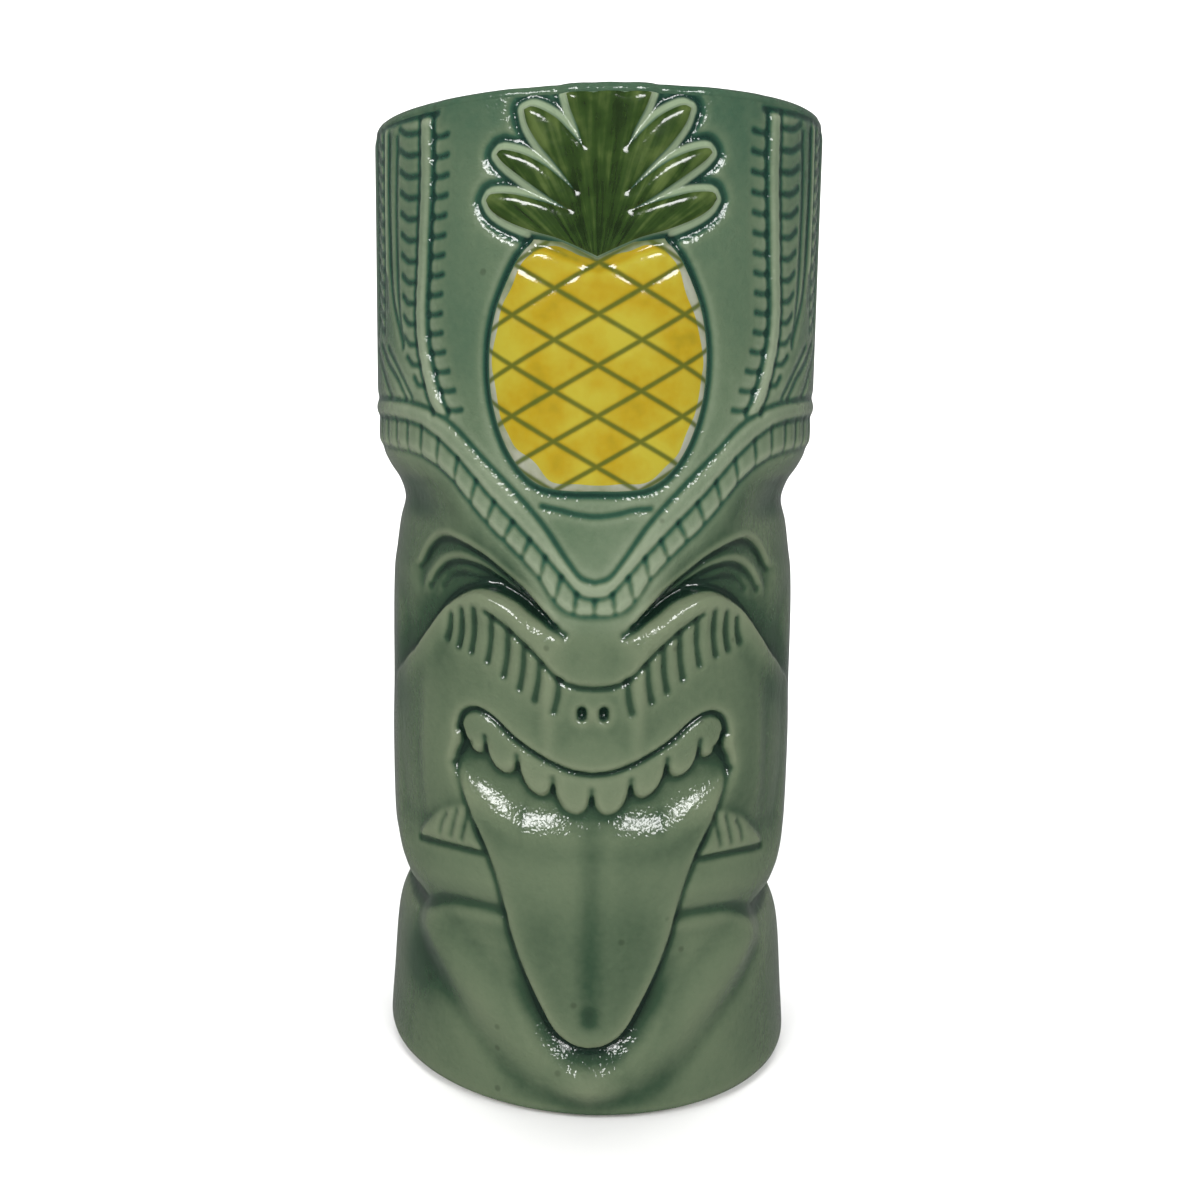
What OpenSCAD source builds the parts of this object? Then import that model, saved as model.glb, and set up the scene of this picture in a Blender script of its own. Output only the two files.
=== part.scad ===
// A tall ceramic drinking mug, cast and glazed, in the shape of a squatting carved figure
// under a drum-shaped headdress with a pineapple on its front. The figure faces -Y and the
// mug stands on Z = 0 with its axis on Z. Left and right are those of a viewer in front.
//
// The vessel is one turned wall. Every carved form lies on that wall face to face, cut from
// a turned skin by an outline seen from the front. Outlines are lists of [arc, height]
// points in millimetres at the design size: arc is measured round the drum from the front.

/* [Vessel] */
// Overall height of the mug
mug_h = 170; // [130:1:210]
// Diameter of the headdress drum, the widest part
drum_d = 80; // [64:1:100]
// Thickness of the cast wall behind the carving
wall = 4; // [3:0.1:5]
// Thickness of the floor
floor_t = 5; // [3.5:0.1:8]
// Height of the plain collar round the mouth
collar_h = 3; // [2:0.1:5]
// Radius of the lip's rounded edges
lip_round = 1; // [0.5:0.1:1.4]

/* [Foot] */
// Height of the unglazed foot ring
foot_h = 1.2; // [0.8:0.1:2.5]
// Width of the foot ring's face
foot_w = 6; // [4:0.5:9]
// Distance of the foot ring from the base's edge
foot_inset = 1; // [0.5:0.1:3]

/* [Relief] */
// Height of the carved forms above the wall
relief = 1.2; // [0.8:0.1:1.6]
// Height of the glaze patches above the fruit
glaze_relief = 0.3; // [0.2:0.05:0.5]
// Width of the incised line between two forms
line_w = 0.8; // [0.5:0.1:1.2]
// How far the tongue stands out over the waist
tongue_out = 4.6; // [3:0.1:5.5]

/* [Headdress] */
// Number of tabs on each side of the hem
tabs_a_side = 12; // [8:1:14]
// Number of fringe pads beside each panel
fringe_count = 14; // [8:1:16]
// Width of the fringe
fringe_l = 3; // [1.5:0.1:4]
// Number of upright staves across the back
stave_count = 10; // [6:1:14]

/* [Pineapple] */
// Width of one diamond of the fruit's lattice
diamond_w = 13.4; // [10:0.2:16]
// Height of one diamond of the fruit's lattice
diamond_h = 7.8; // [6:0.2:10]

/* [Hidden] */
$fn = 96;

// The outlines are drawn at this size and stretched to the size above.
design_h = 170;
design_r = 40;
kz = mug_h / design_h;
kr = drum_d / 2 / design_r;
drum_r = drum_d / 2;
degrees_per_mm = 180 / PI / design_r;
celadon = "#6f8c72";
leaf_green = "#3f5a2c";
enamel_yellow = "#d8b42f";

// Height and radius of the carved surface, from the base up: base, waist, torso, neck, drum.
PROFILE = [
    [0, 37.8], [10, 37.2], [20, 36.5], [25, 35.8], [30, 34], [35, 35.5], [40, 37.2],
    [45, 37.8], [60, 37.8], [80, 37.4], [90, 37.2], [100, 35.3], [104, 34],
    [107.5, 35.5], [110, 37.5], [113, 39], [117.5, 39.9], [122, 40], [170, 40]
];
// The same line at the mug's real size, one relief deeper: the wall that the forms lie on.
WALL = [for (p = PROFILE) [p[0] * kz, p[1] * kr - relief]];
visor_top = 117.5 * kz;
waist_z = 30;
tongue_r = lookup(waist_z, PROFILE) * kr + tongue_out;

// Radius of the wall at a height.
function wall_r(z) = lookup(z, WALL);
// Radius of the hollow: the narrowest wall within reach, less the wall's thickness.
function hollow_r(z) = min([for (d = [-6 : 2 : 6]) wall_r(z + d)]) - wall;
// The wall's points between two heights, moved outwards.
function wall_line(z0, z1, out) = [
    [wall_r(z0) + out, z0],
    for (p = WALL) if (p[0] > z0 + 0.01 && p[0] < z1 - 0.01) [p[1] + out, p[0]],
    [wall_r(z1) + out, z1]
];
function reversed(line) = [for (i = [len(line) - 1 : -1 : 0]) line[i]];
// A half line from the middle outwards, completed with its mirror image on the left.
function both_sides(half) = concat([for (i = [len(half) - 1 : -1 : 1]) [-half[i][0], half[i][1]]], half);
function blend(a, b, c, d, t) =
    0.5 * (2 * b + (c - a) * t + (2 * a - 5 * b + 4 * c - d) * t * t + (3 * b - a - 3 * c + d) * t * t * t);
// A smooth line through the given points, with three steps between two of them.
function smooth(line, steps = 3) = [
    for (i = [0 : len(line) - 2]) for (k = [0 : steps - 1])
        blend(line[max(i - 1, 0)], line[i], line[i + 1], line[min(i + 2, len(line) - 1)], k / steps),
    line[len(line) - 1]
];
// Turns arc and height into the front view's x and z, on a surface of the given radius.
function seen(line, r = 0) = [
    for (p = line) [(r > 0 ? r : lookup(p[1], PROFILE) * kr) * sin(p[0] * degrees_per_mm), p[1] * kz]
];
function middle(a, b, t) = a + (b - a) * t;

// Half lines of the headdress's V: the band's upper and lower edge, and the hem's edge. They run
// level past the sides, where the V is cut off at V_REACH and the plain ring round the back begins.
V_REACH = 46;
BAND_TOP = [[0, 93.5], [2.5, 94.3], [5, 97], [10, 102.8], [15, 107.8], [20, 113.2], [25, 118],
    [30, 120.5], [35, 121.5], [42, 122], [60, 122]];
BAND_LOW = [[0, 90.8], [2.5, 91.3], [5, 93.4], [10, 98.5], [15, 102.5], [20, 106.8], [25, 113],
    [30, 116.6], [35, 118.2], [42, 118.8], [60, 118.8]];
HEM_LOW = [[0, 88.3], [4, 88.6], [7, 90.6], [10, 94.2], [15, 98.5], [20, 101.8], [24, 105],
    [28, 110], [32, 112.3], [37, 113.5], [42, 114], [60, 114]];
// Half lines of the face: groove over the muzzle, nose, mouth, teeth, tongue.
MUZZLE_TOP = [[5.5, 85], [10, 87.2], [15, 90], [20.5, 91], [25, 90.2], [30, 87.3], [35, 83], [38, 80.5]];
NOSE_LOW = [[0, 76], [3, 76.3], [6, 77.6], [9.2, 80.6]];
MOUTH_TOP = [[0, 61.2], [4, 61.8], [9, 63.7], [14, 66.4], [18.5, 69.5], [22, 70.5], [24.8, 69.5], [26, 67.5]];
TOOTH_LOW = [[0, 54], [3.5, 54.7], [10.3, 57.6], [17, 60.7], [23, 63.5], [26, 65.5]];
TOOTH_EDGES = [0, 7, 13.7, 20.2, 25.3];
TONGUE_TOP = [[0, 53], [3.5, 53.4], [10.3, 56.2], [17, 59.2], [23, 61], [27, 60.5]];
TONGUE_SIDE = [[0, 12.7], [3, 13.3], [6.5, 15.6], [9.5, 20], [12.8, 26.5], [15.2, 32], [16.3, 36],
    [17.5, 41], [19.5, 46], [22.5, 51], [25.5, 56.5], [27, 60.5]];
// The thigh's outer ridge, from the middle of the base outwards, and its edge at the tongue.
THIGH_OUT = [[1, 4], [6, 6], [15, 13], [25, 21], [33, 28]];
THIGH_IN = [[1, 11.5], [4, 12.2], [8, 15], [11, 19.5], [14.5, 26], [17, 31], [18.5, 33.5], [25, 33], [33, 31.5]];
// The fruit's half outline, from the bottom up to the notch under the crown.
FRUIT = [[0, 107.8], [7, 108.2], [11, 110], [14.3, 113.5], [16.5, 118.5], [17.8, 124], [17.9, 130],
    [17, 135.5], [15.2, 139.7], [13, 143.7], [10.5, 146.3]];
FRUIT_NOTCH = [0, 143];
FRUIT_MIDDLE = [0, 127.5];
FRUIT_MARGIN = 0.93;
fruit_outline = concat(both_sides(smooth(FRUIT)), [FRUIT_NOTCH]);
// Root, tip and width of each leaf on the right; the middle leaves stand upright.
LEAVES = [[[1, 148.5], [19.2, 153.4], 4.6], [[1, 152], [17.8, 160.2], 4.4], [[1, 157], [14.2, 166.3], 4.4]];
MIDDLE_LEAVES = [[[0, 144.5], [-5, 166.3], 6], [[0, 144.5], [0, 166.8], 6], [[0, 144.5], [5, 166.3], 6]];

// A turned skin on the wall between two heights, out to one relief or to a given radius.
module skin(z0, z1, r = 0) {
    rotate_extrude()
        skin_section(z0, z1, r);
}

module skin_section(z0, z1, r) {
    inside = wall_line(z0, z1, 0);
    outside = r > 0 ? [[r, z0], [r, z1]] : wall_line(z0, z1, relief);
    polygon(concat(inside, reversed(outside)));
}

// The same skin over part of the way round, with angles counted from the front to the right.
module skin_sector(z0, z1, from, to, r = 0) {
    rotate_extrude(angle = to - from, start = from - 90)
        skin_section(z0, z1, r);
}

// Everything in front of the axis that lies inside an outline seen from the front.
module in_front(outline) {
    rotate([90, 0, 0])
        linear_extrude(height = drum_r + relief)
            polygon(outline);
}

// A form cut from the skin by an outline, as far round as the given angle on each side.
module carved(outline, z0, z1, r = 0, reach = 90) {
    intersection() {
        skin_sector(z0 * kz, z1 * kz, -reach, reach, r);
        in_front(outline);
    }
}

module on_the_left() {
    mirror([1, 0, 0])
        children();
}

// Vessel: outer wall, collar and lip, then the hollow down to the floor.
module cup() {
    floor_z = foot_h + floor_t;
    mouth_r = hollow_r(mug_h);
    outer = wall_line(foot_h, mug_h - collar_h, 0);
    lip = [
        [drum_r, mug_h - collar_h], [drum_r, mug_h - lip_round], [drum_r - lip_round, mug_h],
        [mouth_r + lip_round, mug_h], [mouth_r, mug_h - lip_round]
    ];
    hollow_steps = 34;
    hollow = [
        for (i = [1 : hollow_steps])
            let (z = middle(mug_h - collar_h, floor_z + wall, i / hollow_steps)) [hollow_r(z), z]
    ];
    color(celadon)
        rotate_extrude()
            polygon(concat([[0, foot_h]], outer, lip, hollow, [[hollow_r(floor_z) - wall, floor_z], [0, floor_z]]));
}

module foot_ring() {
    foot_r = wall_r(0) - foot_inset;
    color("#b9ab93")
        difference() {
            cylinder(h = foot_h, r = foot_r);
            translate([0, 0, -1])
                cylinder(h = foot_h + 2, r = foot_r - foot_w);
        }
}

// The base's outside, open in front where the thighs and the tongue lie.
module plinth() {
    opening = concat(smooth(both_sides(concat([[0, 3.4]], THIGH_OUT))), [[40, 34], [-40, 34]]);
    color(celadon)
        difference() {
            skin(foot_h, 27 * kz);
            in_front(seen(opening));
        }
}

module torso_back() {
    color(celadon)
        skin_sector(37 * kz, 103 * kz, 72, 288);
}

module right_thigh() {
    color(celadon)
        carved(seen(concat(smooth(THIGH_OUT), reversed(smooth(THIGH_IN)))), 2, 36);
}

module left_thigh() {
    on_the_left() right_thigh();
}

module right_arm() {
    low = [[18.8, 38.5], [24, 37.5], [33, 36], [40, 35.5], [46, 36.5]];
    high = [[20.8, 44.8], [27, 44.2], [37, 43], [46, 43]];
    color(celadon)
        carved(seen(concat(smooth(low), reversed(smooth(high)))), 34, 46);
}

module left_arm() {
    on_the_left() right_arm();
}

// Four fingers, each a separate form between two incised lines. A line's width is kept free beside
// the tongue, whose edge is taken from its own outline.
module right_hand() {
    low = [[21.5, 46], [37, 44.2]];
    high = [[21.5, 51.5], [24, 53], [27, 52.2], [31, 50.2], [34.5, 48], [37, 45.4]];
    fingers = 4;
    first = 22.6;
    last = 35.4;
    beside_tongue = concat([[0, 12.7]], [for (p = smooth(TONGUE_SIDE)) [p[0] + line_w, p[1]]], [[0, 60.5]]);
    color(celadon)
        difference() {
            for (i = [0 : fingers - 1]) {
                a = middle(first, last, i / fingers) + line_w / 2;
                b = middle(first, last, (i + 1) / fingers) - line_w / 2;
                m = (a + b) / 2;
                carved(seen([
                    [a, lookup(a, low)], [b, lookup(b, low)],
                    [b, lookup(b, high) - line_w], [m, lookup(m, high)], [a, lookup(a, high) - line_w]
                ]), 43, 54);
            }
            in_front(seen(beside_tongue, tongue_r));
        }
}

module left_hand() {
    on_the_left() right_hand();
}

// Upper lip and cheeks in one form, from the groove under the eyes to the mouth.
module muzzle() {
    right_cheek = [[38, 62], [36, 54.5], [28.5, 60.5], [27.3, 64]];
    half = concat([[0, 75.2], [3, 75.5], [6, 76.8], [10.3, 80.3], [7, 84.2]],
        smooth(MUZZLE_TOP), right_cheek, reversed(smooth(MOUTH_TOP)));
    left_half = [for (i = [len(half) - 2 : -1 : 1]) [-half[i][0], half[i][1]]];
    color(celadon)
        carved(seen(concat(half, left_half)), 52, 93);
}

module nose() {
    right = concat(smooth(NOSE_LOW), [[5.6, 84], [4.4, 85.5], [5.4, 87.6], [0, 87.6]]);
    left = [for (i = [len(right) - 2 : -1 : 1]) [-right[i][0], right[i][1]]];
    color(celadon)
        carved(seen(concat(right, left)), 74, 89);
}

// The crescent of the upper lid, from the nose out to the temple.
module right_eye_fold() {
    high = [[10.5, 88.3], [15, 92], [20, 95.4], [25, 97.5], [30, 98.5], [35, 98.2], [40, 97]];
    low = [[10.5, 88], [13.5, 89.8], [17.5, 92.2], [22, 93.8], [27, 94.4], [32, 94.2], [40, 96.6]];
    color(celadon)
        carved(seen(concat(smooth(low), reversed(smooth(high)))), 87, 100);
}

module left_eye_fold() {
    on_the_left() right_eye_fold();
}

// Eight scalloped teeth that hang from the mouth's upper line.
module upper_teeth() {
    color(celadon)
        for (side = [-1, 1], i = [0 : len(TOOTH_EDGES) - 2]) {
            a = TOOTH_EDGES[i] + line_w / 2;
            b = TOOTH_EDGES[i + 1] - line_w / 2;
            m = (a + b) / 2;
            tooth = [
                [a, lookup(a, MOUTH_TOP) - line_w], [m, lookup(m, MOUTH_TOP) - line_w],
                [b, lookup(b, MOUTH_TOP) - line_w], [b, lookup(b, TOOTH_LOW) + 2.6],
                [middle(m, b, 0.7), lookup(m, TOOTH_LOW) + 1], [m, lookup(m, TOOTH_LOW)],
                [middle(m, a, 0.7), lookup(m, TOOTH_LOW) + 0.8], [a, lookup(a, TOOTH_LOW) + 2.4]
            ];
            carved(seen([for (p = tooth) [side * p[0], p[1]]]), 52, 72);
        }
}

module tongue() {
    color(celadon)
        carved(seen(concat(smooth(both_sides(TONGUE_SIDE)), reversed(smooth(both_sides(TONGUE_TOP)))), tongue_r),
            11, 62, tongue_r);
}

// The field between the band's V and the drum, flush with the drum's wall, open where the fruit is set in.
module headdress_visor() {
    v = smooth(both_sides(BAND_TOP));
    color(celadon)
        difference() {
            carved(seen(concat(v, [[60, 124], [-60, 124]]), drum_r), 92, 117.5, wall_r(visor_top));
            in_front(seen(fruit_outline, drum_r));
        }
}

// The raised band: a V in front and a level ring round the back.
module headdress_band() {
    v = concat(smooth(both_sides(BAND_LOW)), reversed(smooth(both_sides(BAND_TOP))));
    side = V_REACH * degrees_per_mm;
    gap = line_w * degrees_per_mm;
    color(celadon) {
        carved(seen(v, drum_r), 90, 123, drum_r, side);
        skin_sector(118.8 * kz, 122 * kz, side + gap, 360 - side - gap, drum_r);
    }
}

// Tabs along the V's lower edge, and the plain hem round the back.
module headdress_hem() {
    hem_r = drum_r - relief / 2;
    side = V_REACH * degrees_per_mm;
    gap = line_w * degrees_per_mm;
    pitch = V_REACH / tabs_a_side;
    color(celadon) {
        for (s = [-1, 1], i = [0 : tabs_a_side - 1]) {
            a = i * pitch + line_w / 2;
            b = (i + 1) * pitch - line_w / 2;
            high = [for (t = [a, (a + b) / 2, b]) [s * t, lookup(t, BAND_LOW) - line_w]];
            low = [for (t = [b, (a + b) / 2, a]) [s * t, lookup(t, HEM_LOW)]];
            carved(seen(concat(high, low), drum_r), 87, 119, hem_r, side - gap / 2);
        }
        skin_sector(114 * kz, 118 * kz, side + gap, 360 - side - gap, hem_r);
    }
}

// Upright staves across the back of the drum.
module headdress_back() {
    from = 81;
    span = (360 - 2 * from) / stave_count;
    gap = line_w * degrees_per_mm;
    color(celadon)
        for (i = [0 : stave_count - 1])
            skin_sector(123 * kz, mug_h - collar_h - line_w, from + i * span + gap, from + (i + 1) * span - gap, drum_r);
}

// The patterned field beside the pineapple, from the frame strip back to the ear of the drum.
module right_panel() {
    color(celadon)
        skin_sector(123 * kz, mug_h - collar_h - line_w, 28.5 * degrees_per_mm, 79.5, drum_r);
}

module left_panel() {
    on_the_left() right_panel();
}

// A column of small pads between the panel's strip and the pineapple's field, an incised line apart.
module right_fringe() {
    low = 122 * kz;
    high = mug_h - collar_h - line_w;
    pitch = (high - low) / fringe_count;
    end = 28 * degrees_per_mm;
    color(celadon)
        for (i = [0 : fringe_count - 1])
            skin_sector(low + i * pitch + line_w / 2, low + (i + 1) * pitch - line_w / 2,
                end - fringe_l * degrees_per_mm, end, wall_r(visor_top) + relief / 2);
}

module left_fringe() {
    on_the_left() right_fringe();
}

module pineapple_fruit() {
    color("#b9ae86")
        carved(seen(fruit_outline, drum_r), 106, 148, drum_r - glaze_relief);
}

// Diamond patches of yellow glaze, clipped a little inside the fruit's outline.
module pineapple_scales() {
    inset = [for (p = fruit_outline) FRUIT_MIDDLE + (p - FRUIT_MIDDLE) * FRUIT_MARGIN];
    rows = 5;
    w = diamond_w / 2 - line_w;
    h = diamond_h / 2 - line_w * diamond_h / diamond_w;
    color(enamel_yellow)
        for (column = [-2 : 2], row = [-rows : rows]) {
            s = column * diamond_w / 2;
            z = FRUIT_MIDDLE[1] - 0.2 + row * diamond_h + (abs(column) % 2 == 1 ? 0 : diamond_h / 2);
            diamond = [[s - w, z], [s, z - h], [s + w, z], [s, z + h]];
            if (z > 108 && z < 144)
                intersection() {
                    rotate_extrude()
                        translate([drum_r - glaze_relief, (z - h - 1) * kz])
                            square([glaze_relief, (2 * h + 2) * kz]);
                    in_front(seen(diamond, drum_r));
                    in_front(seen(inset, drum_r));
                }
        }
}

// One pointed leaf between two points, widest in its middle.
function leaf(root, tip, width, steps = 8) =
    let (along = tip - root, across = [-along[1], along[0]] / norm(along))
    concat(
        [for (i = [0 : steps]) root + along * i / steps + across * width / 2 * pow(sin(180 * i / steps), 0.7)],
        [for (i = [steps - 1 : -1 : 1]) root + along * i / steps - across * width / 2 * pow(sin(180 * i / steps), 0.7)]
    );

module pineapple_crown() {
    color(leaf_green)
        intersection() {
            skin(143 * kz, 167 * kz, drum_r);
            union() {
                for (l = LEAVES) {
                    in_front(seen(leaf(l[0], l[1], l[2]), drum_r));
                    in_front(seen(leaf([-l[0][0], l[0][1]], [-l[1][0], l[1][1]], l[2]), drum_r));
                }
                for (l = MIDDLE_LEAVES)
                    in_front(seen(leaf(l[0], l[1], l[2]), drum_r));
            }
        }
}

cup();
foot_ring();
plinth();
torso_back();
left_thigh();
right_thigh();
left_arm();
right_arm();
left_hand();
right_hand();
muzzle();
nose();
left_eye_fold();
right_eye_fold();
upper_teeth();
tongue();
headdress_visor();
headdress_band();
headdress_hem();
headdress_back();
left_panel();
right_panel();
left_fringe();
right_fringe();
pineapple_fruit();
pineapple_scales();
pineapple_crown();
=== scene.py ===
"""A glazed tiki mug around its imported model.

The mug's outside is one carved surface: a radius for every place on the wall, where a place is its
arc round the drum from the front (to the right positive) and its height, both in millimetres. The
carving is done on a fine grid of such places with four tools (groove, ridge, raised form, step), then
softened by the glaze. Each piece is a closed tile of that wall, and the paints are thin sheets that
come through the surface only where the brush left them.
"""
import math

import bpy
import numpy as np
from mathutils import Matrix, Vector


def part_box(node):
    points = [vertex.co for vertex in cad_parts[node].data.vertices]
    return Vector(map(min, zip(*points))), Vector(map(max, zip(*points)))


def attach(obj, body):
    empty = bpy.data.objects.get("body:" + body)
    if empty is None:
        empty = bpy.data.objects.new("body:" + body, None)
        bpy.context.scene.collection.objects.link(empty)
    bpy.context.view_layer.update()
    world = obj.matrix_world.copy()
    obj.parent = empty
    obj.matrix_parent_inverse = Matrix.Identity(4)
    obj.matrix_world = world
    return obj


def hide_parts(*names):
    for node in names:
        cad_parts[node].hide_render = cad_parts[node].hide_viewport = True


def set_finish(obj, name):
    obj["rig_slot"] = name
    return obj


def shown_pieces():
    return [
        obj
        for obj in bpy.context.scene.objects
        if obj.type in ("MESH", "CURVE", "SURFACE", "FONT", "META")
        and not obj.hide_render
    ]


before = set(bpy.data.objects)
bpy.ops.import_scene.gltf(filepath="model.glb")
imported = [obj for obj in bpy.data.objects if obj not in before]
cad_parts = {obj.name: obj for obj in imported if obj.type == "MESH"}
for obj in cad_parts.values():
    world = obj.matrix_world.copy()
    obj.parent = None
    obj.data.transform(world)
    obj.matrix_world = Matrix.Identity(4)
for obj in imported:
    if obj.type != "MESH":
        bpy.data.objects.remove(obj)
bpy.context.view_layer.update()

MM = 0.001
DRUM_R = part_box("cup")[1].x / MM
MUG_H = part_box("cup")[1].z / MM
FOOT_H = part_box("foot_ring")[1].z / MM
FOOT_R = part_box("foot_ring")[1].x / MM
FOOT_W = 6.0
# From the turned body's outside in to the hollow. The cup's own shell is the innermost part of that,
# and the tiles begin just inside the shell's back, so that the two hold together.
WALL_W, CUP_W, TILES_FROM = 5.2, 1.3, 1.0
LINE_W = 0.8
ROUND = 2 * math.pi * DRUM_R
HALF_ROUND = ROUND / 2
# Heights at which one tile ends and the next begins, from the lip's collar down to the lap.
SEAM_Z = MUG_H - 1.6
BAND_Z, HEM_Z, TEETH_Z, KNEE_Z, LAP_Z = 122.2, 114.0, 53.0, 36.0, 12.0
# The front's tiles end at this arc, and the staves of the back begin a little before it.
FRONT, BACK_FROM = 60.0, 58.0

# ---------------------------------------------------------------- lines and steps


def smooth_line(points, spacing=0.5):
    """A Catmull-Rom curve through the points, sampled about every spacing."""
    p = np.array(points, float)
    p = np.vstack([2 * p[0] - p[1], p, 2 * p[-1] - p[-2]])
    out = []
    for a, b, c, d in zip(p[:-3], p[1:-2], p[2:-1], p[3:]):
        n = max(2, int(np.ceil(np.hypot(*(c - b)) / spacing)))
        t = np.linspace(0, 1, n, endpoint=False)[:, None]
        cubic = (3 * b - a - 3 * c + d) * t**3
        out.append(0.5 * (2 * b + (c - a) * t + (2 * a - 5 * b + 4 * c - d) * t * t + cubic))
    out.append(p[-2:-1])
    return np.vstack(out)


def mirrored(line):
    """The same line on the other side of the middle."""
    return np.array(line, float) * [-1, 1]


def both(*lines):
    """Each line and its mirror image."""
    return [k for line in lines for k in (np.array(line, float), mirrored(line))]


def across(half):
    """A half line from the middle outwards, completed with its mirror image."""
    half = np.array(half, float)
    return np.vstack([mirrored(half)[::-1][:-1], half])


def step(x, low, high):
    """0 below low, 1 above high, an S-curve between."""
    t = np.clip((x - low) / (high - low), 0, 1)
    return t * t * (3 - 2 * t)


def bell(x, width):
    """1 at 0, falling as a bell curve of the given half-width."""
    return np.exp(-((x / width) ** 2))


# ---------------------------------------------------------------- the wall


class Wall:
    """The grid of places on the wall, with the radius at each, and the tools that carve it."""

    def __init__(self, pitch=0.1):
        columns = int(round(ROUND / pitch))
        self.arc = np.linspace(-HALF_ROUND, HALF_ROUND, columns + 1)
        self.height = np.linspace(0, MUG_H, int(round(MUG_H / pitch)) + 1)
        self.pitch_s = self.arc[1] - self.arc[0]
        self.pitch_z = self.height[1] - self.height[0]
        self.S = self.arc[None, :].astype(np.float32)
        self.Z = self.height[:, None].astype(np.float32)
        self.radius = np.zeros((len(self.height), len(self.arc)), np.float32)

    def window(self, low, high):
        """The slices of the grid that cover a box of places."""
        j = ((np.array([low[0], high[0]]) + HALF_ROUND) / self.pitch_s).astype(int) + [0, 2]
        i = (np.array([low[1], high[1]]) / self.pitch_z).astype(int) + [0, 2]
        j, i = np.clip(j, 0, len(self.arc)), np.clip(i, 0, len(self.height))
        return slice(i[0], i[1]), slice(j[0], j[1])

    def distance(self, lines, reach):
        """Distance to the nearest of the lines, up to reach, in the window round them."""
        every = np.vstack(lines)
        place = self.window(every.min(0) - reach, every.max(0) + reach)
        shape = [side.stop - side.start for side in place]
        best = np.full(shape, reach * reach, np.float32)
        for line in lines:
            for a, b in zip(line[:-1], line[1:]):
                rows, cols = self.window(np.minimum(a, b) - reach, np.maximum(a, b) + reach)
                if rows.start >= rows.stop or cols.start >= cols.stop:
                    continue
                d = b - a
                s = self.S[:, cols] - a[0]
                z = self.Z[rows] - a[1]
                t = np.clip((s * d[0] + z * d[1]) / max(d @ d, 1e-9), 0, 1)
                near = (s - t * d[0]) ** 2 + (z - t * d[1]) ** 2
                part = best[
                    rows.start - place[0].start : rows.stop - place[0].start,
                    cols.start - place[1].start : cols.stop - place[1].start,
                ]
                np.minimum(part, near, out=part)
        return place, np.sqrt(best)

    def inside(self, outline, reach):
        """Distance to a closed outline, positive inside it and negative outside, up to reach."""
        loop = np.vstack([outline, outline[:1]])
        place, away = self.distance([loop], reach)
        s = self.S[:, place[1]]
        z = self.Z[place[0]]
        within = np.zeros(away.shape, bool)
        for a, b in zip(loop[:-1], loop[1:]):
            if a[1] == b[1]:
                continue
            rows = (z > min(a[1], b[1])) & (z <= max(a[1], b[1]))
            within ^= rows & (s < a[0] + (z - a[1]) * (b[0] - a[0]) / (b[1] - a[1]))
        return place, np.where(within, away, -away)

    def groove(self, lines, depth, width):
        """Cuts a round-bottomed line of the given depth and half-width along each line."""
        place, away = self.distance(lines, 3 * width)
        self.radius[place] -= depth * bell(away, width)

    def ridge(self, lines, height, width):
        """Lays a round-topped cord along each line."""
        self.groove(lines, -height, width)

    def raise_form(self, outline, height, edge, dome=0.0, dome_reach=3.0):
        """Lifts the inside of an outline by height over a soft edge, with a dome rising further in."""
        place, depth_in = self.inside(outline, max(edge, dome_reach) * 1.05)
        lift = height * step(depth_in, -edge / 2, edge / 2)
        if dome:
            rest = 1 - np.clip(depth_in / dome_reach, 0, 1)
            lift += dome * (1 - rest**2) * (depth_in > 0)
        self.radius[place] += lift

    def soften(self, field, width):
        """A bell-curve blur of the given half-width in millimetres."""
        out = field
        for axis, pitch in ((0, self.pitch_z), (1, self.pitch_s)):
            n = int(np.ceil(2.2 * width / pitch))
            weights = np.exp(-((np.arange(-n, n + 1) * pitch / width) ** 2))
            weights /= weights.sum()
            pads = [(0, 0), (0, 0)]
            pads[axis] = (n, n)
            wide = np.pad(out, pads, mode="edge" if axis == 0 else "wrap")
            size = out.shape[axis]
            out = np.zeros_like(out)
            for k, w in enumerate(weights):
                part = wide[k : k + size] if axis == 0 else wide[:, k : k + size]
                out += np.float32(w) * part
        return out

    def read(self, field, s, z):
        """The field's value at any places, between the grid's by straight mixing."""
        x = np.clip((s + HALF_ROUND) % ROUND / self.pitch_s, 0, len(self.arc) - 1.001)
        y = np.clip(z / self.pitch_z, 0, len(self.height) - 1.001)
        j, i = x.astype(int), y.astype(int)
        u, v = x - j, y - i
        low = field[i, j] * (1 - u) + field[i, j + 1] * u
        high = field[i + 1, j] * (1 - u) + field[i + 1, j + 1] * u
        return low * (1 - v) + high * v


wall = Wall()
S, Z = wall.S, wall.Z
SIDE = np.abs(S)

# ---------------------------------------------------------------- guide lines, [arc, height]

PROFILE = [(0, 38.6), (5, 38.3), (10, 37.9), (20, 37.2), (25, 36.5), (28, 35.4), (30, 34.4),
           (32.5, 34.6), (35, 35.6), (37.5, 36.3), (40, 36.9), (45, 37.4), (60, 37.5), (70, 37.3),
           (80, 37.3), (90, 37.2), (95, 36.6), (100, 35.9), (104, 35.0), (107.5, 36.0), (110, 37.6),
           (113, 39.0), (117.5, 39.9), (122, 40), (146, 40), (170, 40)]
BAND_TOP = smooth_line([(0, 93.5), (2.3, 94.3), (4.5, 97), (8.6, 102.8), (13.3, 107.8), (19.2, 113.2),
                        (24.8, 118), (30, 120.5), (35, 121.6), (44, BAND_Z), (60, BAND_Z), (76, BAND_Z)])
BAND_LOW = smooth_line([(0, 90.8), (2.3, 91.4), (4.5, 93.6), (8.9, 98.5), (12.9, 102.5), (17.6, 106.8),
                        (24.2, 113), (29.8, 116.6), (35, 118.3), (44, 119), (60, 119), (76, 119)])
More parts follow.
